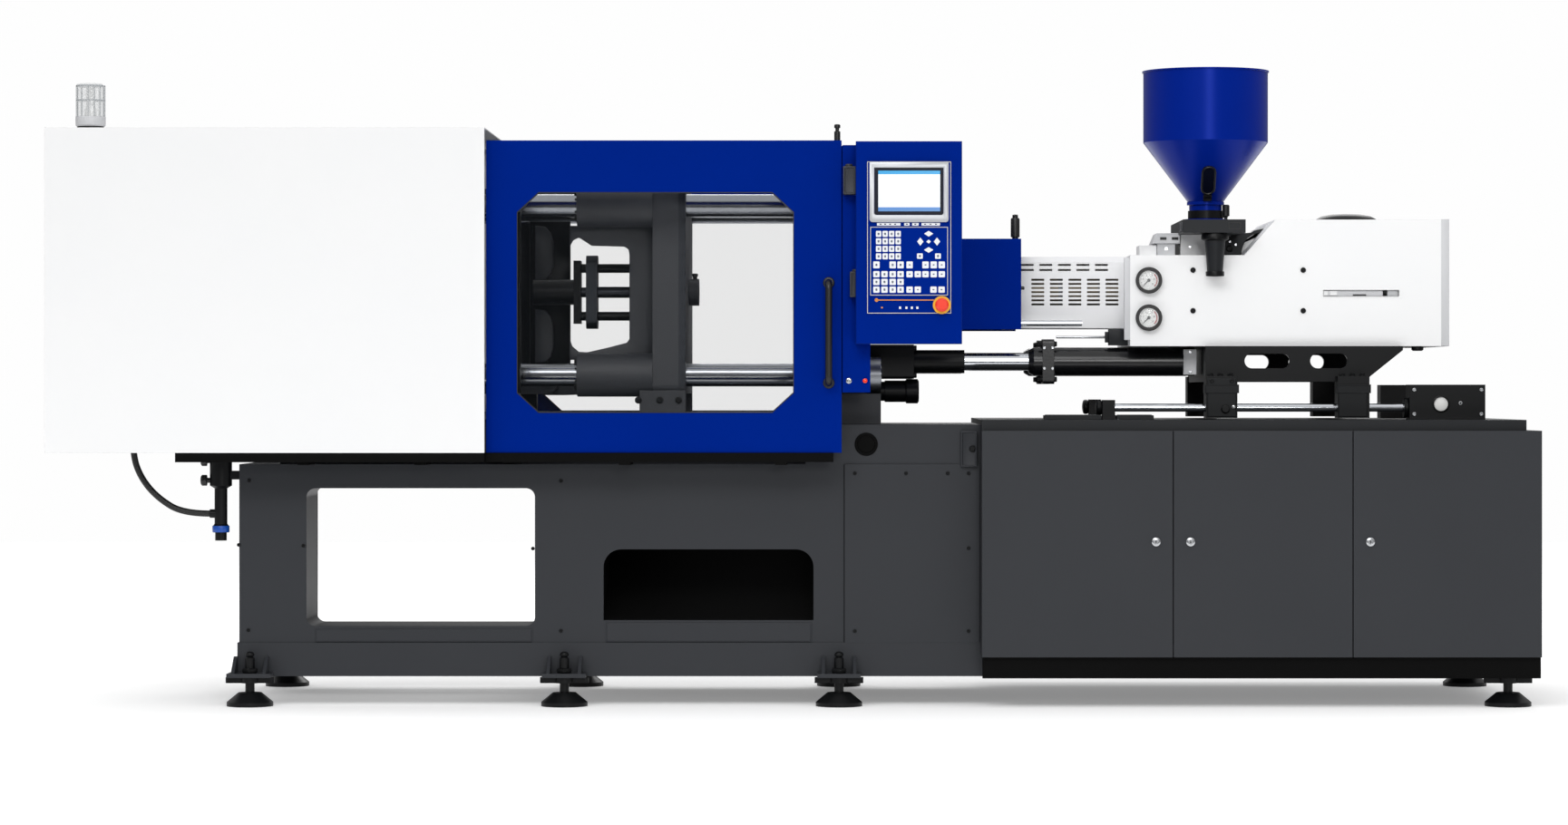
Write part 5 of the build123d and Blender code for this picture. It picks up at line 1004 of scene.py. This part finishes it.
add_block("shutter_grip", (1.942, -0.3252, 1.4160), (1.988, -0.3236, 1.4205), black_plastic, "thrust_unit",
          OUT, 0.001, 0.0006)
add_block("housing_end_cap", (2.249, -0.3312, 1.2405), (2.2765, 0.3312, 1.6822), pale_coat, "carriage",
          RIGHT, 0.012, 0.0008, 0.002)
add_turned("fan_dome", ((0.112, 1.681), (0.112, 1.687), (0.106, 1.695), (0.088, 1.705), (0.055, 1.711),
                        (0.020, 1.713)), black_coat, "carriage", (1.957, 0, 0), sides=48)
add_block("housing_left_lip", (1.146, -0.3000, 1.262), (1.1665, -0.3285, 1.548), pale_coat, "carriage",
          LEFT, 0.004, 0.002, 0.002)
add_turned("housing_foot", ((0.018, 0), (0.021, 0.003), (0.021, 0.012), (0.016, 0.016)), black_coat, "carriage",
           (2.170, -0.300, 1.240), DOWN)

# %% [markdown]
# Round the feed throat stand small covers: a white block, a block with a lock, and a grey bracket over
# both. A white cover hides the cooled throat, and beside it a dark duct bends up the slope of the housing.
# The duct is a plate whose outline follows an arc, because such a duct is cut from flat sheet. A white sheet
# closes the space behind it, and a pale one lies above it.

# %% Covers round the throat
THROAT_FACE = -0.200
add_block("terminal_block", (1.208, THROAT_FACE, 1.5572), (1.268, -0.040, 1.5960), white_coat, "carriage",
          OUT, 0.004, 0.001, 0.002)
add_block("lock_block", (1.270, THROAT_FACE - 0.010, 1.5572), (1.332, -0.040, 1.6010), pale_coat, "carriage",
          OUT, 0.004, 0.001, 0.002)
bracket = block("socket_bracket", (1.252, THROAT_FACE - 0.016, 1.6015), (1.349, -0.040, 1.6380))
pick(bracket, facing(UP))
bpy.ops.transform.resize(value=(0.84, 1, 1), center_override=(1.349, 0, 1.638))
add_to(soften(recess(bracket, OUT, 0.004, 0.001), 0.002), "carriage", pale_coat)
add_turned("block_lock", ((0.006, 0), (0.006, 0.002), (0.0035, 0.002), (0.003, 0.0005)), plated_steel, "carriage",
           (1.301, THROAT_FACE - 0.009, 1.583), OUT)
dark_socket = recess(block("socket", (-0.011, -0.002, -0.0045), (0.011, 0.001, 0.0045)), OUT, 0.0015, 0.0015)
add_spread("sockets", dark_socket, [(x, THROAT_FACE - 0.0152, 1.619) for x in (1.290, 1.331)], "carriage",
           black_plastic)
add_block("throat_cover", (1.352, -0.2100, 1.5572), (1.454, -0.1170, 1.6395), white_coat, "carriage",
          OUT, 0.003, 0.001, 0.002)
DUCT_OUTLINE = (
    (1.486, 1.5572), (1.578, 1.5572), (1.571, 1.572), (1.577, 1.594), (1.583, 1.609), (1.591, 1.6205),
    (1.601, 1.6300), (1.613, 1.6365), (1.635, 1.6405), (1.650, 1.6405), (1.668, 1.6490), (1.682, 1.6640),
    (1.664, 1.6590), (1.648, 1.6565), (1.625, 1.6517), (1.603, 1.6425), (1.560, 1.6395), (1.486, 1.6395),
)
DUCT_BACK_OUTLINE = ((1.556, 1.5560), (1.690, 1.6790), (1.676, 1.6480), (1.650, 1.6420), (1.610, 1.6380),
                     (1.560, 1.6000))
DUCT_TOP_OUTLINE = ((1.608, 1.6480), (1.656, 1.6700), (1.686, 1.6812), (1.700, 1.6812), (1.684, 1.6640),
                    (1.648, 1.6550))
for name, outline, back_y, front_y, edge, finish in (
        ("throat_duct", DUCT_OUTLINE, -0.1170, -0.1400, 0.0015, graphite_coat),
        ("duct_back", DUCT_BACK_OUTLINE, -0.1000, -0.1160, 0.001, white_coat),
        ("duct_top", DUCT_TOP_OUTLINE, -0.0600, -0.1300, 0.001, pale_coat)):
    add_to(soften(plate(name, outline, back_y, front_y), edge, 1), "carriage", finish)
add_spread("throat_screws", socket_head("throat_screw", 0.0045, 0.003, OUT, plated_steel), [
    (1.530, -0.1398, 1.634), (1.531, -0.1398, 1.611), (1.551, -0.1398, 1.600), (1.384, -0.2092, 1.590)], "carriage")
add_turned("throat_port", ((0.013, 0), (0.013, 0.004), (0.010, 0.006), (0.006, 0.006), (0.005, 0.002)), black_coat,
           "carriage", (1.529, -0.1398, 1.586), OUT)

# %% [markdown]
# The hopper's neck stands in a black clamping collar with an ear and a knob. A sight glass is let into the
# cone: a dark window in a black frame, with a latch under it. It is drawn flat with round ends, and then
# tilted to lie on the cone, whose wall leans 36.8 degrees.

# %% Hopper fittings
HOPPER_X, TUBE_Y = 1.457, -0.378
CONE_TILT = radians(36.8)
NECK_RADIUS, NECK_TOP, CONE_WIDENS, CONE_HEIGHT = 0.063, 1.756, 0.158, 0.211
collar_ring = turned("neck_collar", ((0.0585, 1.6955), (0.0625, 1.6965), (0.0625, 1.7245), (0.0585, 1.7255)),
                     (HOPPER_X, 0, 0), sides=40)
ear = recess(block("collar_ear", (1.512, -0.030, 1.700), (1.534, 0.006, 1.722)), OUT, 0.003, 0.001)
add_to(join("neck_clamp", [collar_ring, soften(ear, 0.002)]), "hopper", black_coat)
add_turned("collar_knob", ((0.006, 1.694), (0.006, 1.704), (0.013, 1.706), (0.013, 1.742), (0.010, 1.746)),
           black_plastic, "hopper", (1.5275, -0.022, 0))


def on_cone(piece, height):
    """Tilts a flat piece so that it lies on the front of the hopper's cone at a height."""
    radius = NECK_RADIUS + (height - NECK_TOP) * CONE_WIDENS / CONE_HEIGHT
    piece.data.transform(Matrix.Translation((HOPPER_X, -radius, height)) @ Matrix.Rotation(CONE_TILT, 4, "X"))
    return piece


def long_round(half_width, half_length, count=8):
    """An outline with straight sides and round ends."""
    top = [(half_width * cos(a), half_length - half_width + half_width * sin(a))
           for a in [pi * k / count for k in range(count + 1)]]
    return top + [(-x, -z) for x, z in top]


sight_frame = recess(plate("sight_frame", long_round(0.026, 0.060), 0.004, -0.009), OUT, 0.006, 0.004)
add_to(on_cone(soften(sight_frame, 0.002, 1), 1.830), "hopper", black_plastic)
sight_glass = recess(plate("sight_glass", long_round(0.019, 0.053), 0.0, -0.0065), OUT, 0.001, 0.0004)
add_to(on_cone(sight_glass, 1.830), "hopper", dark_bezel)
latch = recess(block("sight_latch", (-0.015, -0.012, -0.010), (0.015, 0.002, 0.012)), OUT, 0.003, 0.002)
add_to(on_cone(soften(latch, 0.002), 1.772), "hopper", black_plastic)
tube_collar = turned("tube_collar", ((0.039, 1.606), (0.048, 1.610), (0.048, 1.622), (0.044, 1.631)),
                     (HOPPER_X, TUBE_Y, 0), sides=36)
tube_lip = turned("tube_lip", ((0.0300, 1.4822), (0.0322, 1.4840), (0.0322, 1.4960), (0.0312, 1.4990)),
                  (HOPPER_X, TUBE_Y, 0), sides=36)
add_to(join("tube_collars", [tube_collar, open_up(tube_lip, 2, 0.002)]), "carriage", black_coat)
add_block("slide_base_end", (1.338, -0.404, 1.640), (1.3445, -0.300, 1.670), link_paint, "carriage",
          LEFT, 0.003, 0.001, 0.002)
add_to(frame_strip("slide_base_recess", box_outline(1.500, 1.542, 1.645, 1.668), 0.002, -0.4255, 0.002), "carriage",
       black_plastic)

# %% [markdown]
# The nozzle guard is lifted by a black knob. Slide blocks, brackets and cylinders carry the screws that hold
# them, and one slide block has a grease nipple. A plated rod on a small bracket shows the carriage's limit.

# %% Guard knob and carriage fasteners
add_turned("guard_knob", ((0.0110, 1.6182), (0.0110, 1.6225), (0.0158, 1.6250), (0.0158, 1.6850), (0.0140, 1.6912),
                          (0.0100, 1.6914), (0.0100, 1.7020), (0.006, 1.7040)), black_plastic, "nozzle_guard",
           (0.771, -0.205, 0))
add_turned("guard_latch_pin", ((0.006, 0), (0.006, 0.010), (0.004, 0.012)), black_plastic, "nozzle_guard",
           (0.7905, -0.226, 1.445), RIGHT, 20)
BLOCK_FACE = -0.4340
CYLINDER_Y, CYLINDER_Z = 0.180, 1.187
ROD_Z = 1.026
add_spread("slide_block_screws", socket_head("block_screw", 0.0075, 0.006),
           [(x, BLOCK_FACE, 1.119) for x in (1.441, 1.510)], "carriage")
add_spread("slide_block_caps", hex_head("block_cap", 0.0085, 0.010),
           [(x, -0.398, 1.1362) for x in (1.441, 1.475, 1.510, 1.897, 1.932, 1.967)], "carriage")
for number, (left, top) in enumerate(((1.4255, 1.1280), (1.8790, 1.1060)), 1):
    add_block(f"slide_block_face_{number}", (left, -0.4335, 0.9945), (left + 0.1, -0.4290, top), block_coat,
              "carriage", OUT, 0.002, -0.001, 0.001, 1)
add_turned("grease_bosses", ((0.015, 0), (0.015, 0.008), (0.012, 0.011)), black_coat, "carriage", along=OUT,
           places=[(1.488, BLOCK_FACE, 1.022)])
add_turned("grease_nipples", ((0.006, 0), (0.006, 0.005), (0.003, 0.006), (0.003, 0.010), (0.0042, 0.012),
                              (0.003, 0.014)), plated_steel, "carriage", along=OUT, sides=16,
           places=[(1.5166, BLOCK_FACE, 1.029)])
for number, left in enumerate((1.421, 1.877), 1):
    add_block(f"slide_block_cap_plate_{number}", (left - 0.004, -0.4370, 1.0765), (left + 0.114, -0.366, 1.1065),
              block_coat, "carriage", OUT, 0.003, 0.001, 0.002, 1)
FLANGE_BOLTS = [(side_y + dy, CYLINDER_Z + dz) for side_y in (-CYLINDER_Y, CYLINDER_Y) for dy in (-0.036, 0.036)
                for dz in (-0.062, 0.062)]
add_spread("cylinder_flange_bolts", hex_head("flange_bolt", 0.009, 0.012, LEFT),
           [(0.866, y, z) for y, z in FLANGE_BOLTS], "carriage")
add_spread("cylinder_flange_nuts", hex_head("flange_nut", 0.009, 0.010, RIGHT),
           [(0.907, y, z) for y, z in FLANGE_BOLTS], "carriage")
add_spread("flange_face_screws", socket_head("flange_screw", 0.0050, 0.003, OUT, plated_steel),
           [(x, -0.2300, z) for x in (0.8720, 0.9010) for z in (1.1630, 1.2350)], "carriage")
add_spread("anchor_bolts", socket_head("anchor_bolt", 0.009, 0.010, RIGHT),
           [(0.415, side_y + dy, CYLINDER_Z + dz) for side_y in (-CYLINDER_Y, CYLINDER_Y)
            for dy in (-0.035, 0.035) for dz in (-0.048, 0.048)], "frame")
add_pair("cylinder_clamp", (1.360, 0.1250, 1.141), (1.4050, 0.2360, 1.2300), pale_coat, "carriage",
         0.004, 0.0015, 0.002)
add_spread("cylinder_clamp_screws", socket_head("clamp_screw", 0.0055, 0.004, OUT, plated_steel),
           [(1.3825, -0.2345, 1.221), (1.3825, -0.2345, 1.151)], "carriage")
add_block("limit_bracket", (1.098, -0.2180, 1.244), (1.168, -0.1820, 1.302), graphite_coat, "carriage",
          LEFT, 0.010, -0.012, 0.002)
add_turned("limit_rod", ((0.0040, 0.9150), (0.0045, 0.9160), (0.0045, 1.0990), (0.0040, 1.1000)), plated_steel,
           "carriage", (0, -0.200, 1.2730), RIGHT, 20)
add_turned("rod_end_caps", ((0.018, 0), (0.0245, 0.003), (0.0265, 0.008), (0.0265, 0.016), (0.0225, 0.021),
                            (0.010, 0.024)), black_coat, "frame", along=LEFT,
           places=[(1.065, side_y, ROD_Z) for side_y in (-0.390, 0.390)])
add_turned("anchor_drum", ((0.034, 0.249), (0.034, 0.313), (0.038, 0.313), (0.038, 0.386), (0.043, 0.389),
                           (0.043, 0.428), (0.036, 0.433)), black_coat, "frame", (0, -0.180, 1.083), RIGHT, 36)

# %% [markdown]
# The rear brackets of the guide rods are cast with a raised rim and bolted down through their corners. Two
# thin graphite strips lie on the table under the front ends of the rods.

# %% Bracket and table details
BRACKET_FACE = -0.438
BRACKET_HOLE_X, BRACKET_HOLE_Z = 2.233, 1.039
add_spread("bracket_screws", socket_head("bracket_screw", 0.0065, 0.004, OUT, plated_steel),
           [(x, BRACKET_FACE, z) for x in (2.140, 2.372) for z in (1.004, 1.088)] +
           [(2.300, BRACKET_FACE + 0.002, 1.042)], "frame")
hole_ring = turned("bracket_hole_ring", ((0.0300, 0), (0.0300, 0.002), (0.0285, 0.003), (0.0250, 0.003)),
                   (BRACKET_HOLE_X, BRACKET_FACE, BRACKET_HOLE_Z), OUT)
add_to(open_up(hole_ring, 1, 0.0015), "frame", black_coat)
# a white disc in the bracket's hole paints the bright studio seen through it
add_turned("bracket_hole_light", ((0.0250, 0), (0.0250, 0.003), (0.0235, 0.004)), dial_white, "frame",
           (BRACKET_HOLE_X, -0.431, BRACKET_HOLE_Z), OUT)
add_turned("rod_end_collar", ((0.0330, 2.109), (0.0350, 2.111), (0.0350, 2.122), (0.0330, 2.124)), black_coat,
           "frame", (0, -0.390, ROD_Z), RIGHT)
for number, (left, right) in enumerate(((0.862, 1.060), (1.112, 1.240)), 1):
    add_block(f"table_strip_{number}", (left, -0.440, 0.985), (right, -0.340, 1.000), graphite_coat, "frame",
              UP, 0.006, -0.002, 0.002, 1)

# %% [markdown]
# The filter unit at the left end has a blue ring round its bowl and two small valve knobs.

# %% Filter fittings
add_turned("filter_ring", ((0.0285, 0.5960), (0.0295, 0.5975), (0.0295, 0.6165), (0.0285, 0.6180)), ring_blue,
           "frame", (-1.985, -0.430, 0))
add_turned("valve_knobs", ((0.009, 0), (0.009, 0.014), (0.019, 0.016), (0.019, 0.032), (0.014, 0.036)),
           black_plastic, "frame", along=LEFT, places=[(-2.018, -0.430, 0.775), (-2.018, -0.430, 0.843)])

# %% [markdown]
# The machine stands in a white studio. The picture's ground is plain white, but what a front face mirrors is
# the dimmer room behind the camera: that is what keeps black black. So the surround is white where the
# camera looks straight at it, and otherwise bright overhead and dim at eye level.

# %% The floor and the surround
FLOOR_SIZE, FLOOR_MIDDLE = 20, (0, 5.2, 0)
EYE_LEVEL_GLOW, OVERHEAD_GLOW, OVERHEAD_FROM = 0.12, 1.0, 0.8
put_away()
bpy.ops.mesh.primitive_plane_add(size=FLOOR_SIZE, location=FLOOR_MIDDLE)
floor = bpy.context.object
floor.name = "studio_floor"
# matt white acrylic lit weakly from below, as on a product table: the contact shadow stays light
floor_paper, _, floor_shader = start_material("studio_paper", "white_paint", "#FAFAFA", Roughness=0.9,
                                              Specular_IOR_Level=0.05, Emission_Strength=0.24)
floor_shader.inputs["Emission Color"].default_value = linear("#FFFFFF")
floor.data.materials.append(floor_paper)

surround = bpy.data.worlds.new("white_surround")
surround.use_nodes = True
room = surround.node_tree
direction = add_node(room, "ShaderNodeTexCoord").outputs["Generated"]
height = add_node(room, "ShaderNodeSeparateXYZ", {"Vector": direction}).outputs["Z"]
glow = add_node(room, "ShaderNodeMapRange", {"Value": height, "From Min": 0.0, "From Max": OVERHEAD_FROM,
                                             "To Min": EYE_LEVEL_GLOW, "To Max": OVERHEAD_GLOW})
lighting = add_node(room, "ShaderNodeBackground", {"Strength": glow.outputs["Result"]})
backdrop = add_node(room, "ShaderNodeBackground", {"Color": linear("#FEFEFE"), "Strength": 1.0})
chosen = add_node(room, "ShaderNodeMixShader", {
    0: add_node(room, "ShaderNodeLightPath").outputs["Is Camera Ray"],
    1: lighting.outputs["Background"], 2: backdrop.outputs["Background"]})
lighting.inputs["Color"].default_value = linear("#FFFFFF")
room.links.new(chosen.outputs["Shader"], room.nodes["World Output"].inputs["Surface"])
bpy.context.scene.world = surround
print("floor and surround ready")

# %% [markdown]
# Broad lamps do the rest: one in front and above, one behind, and a small one at eye level whose mirror
# image gives the hopper its bright streak.

# %% The lamps


def softbox(name, place, target, width, height, power):
    """A rectangular area lamp that looks at a target."""
    lamp = bpy.data.lights.new(name, "AREA")
    lamp.shape = "RECTANGLE"
    lamp.size, lamp.size_y, lamp.energy = width, height, power
    made = bpy.data.objects.new(name, lamp)
    made.location = place
    made.rotation_euler = (Vector(target) - Vector(place)).to_track_quat("-Z", "Y").to_euler()
    bpy.context.scene.collection.objects.link(made)
    return made


softbox("front_softbox", (-1.5, -9.0, 6.5), (0, 0, 1.2), 7.0, 3.0, 345)
softbox("back_softbox", (1.5, 9.0, 6.5), (0, 0, 1.2), 7.0, 3.0, 270)
softbox("eye_level_strip", (2.0, -13.0, 3.05), (1.45, 0, 2.1), 2.0, 1.6, 155)
print("lamps ready")
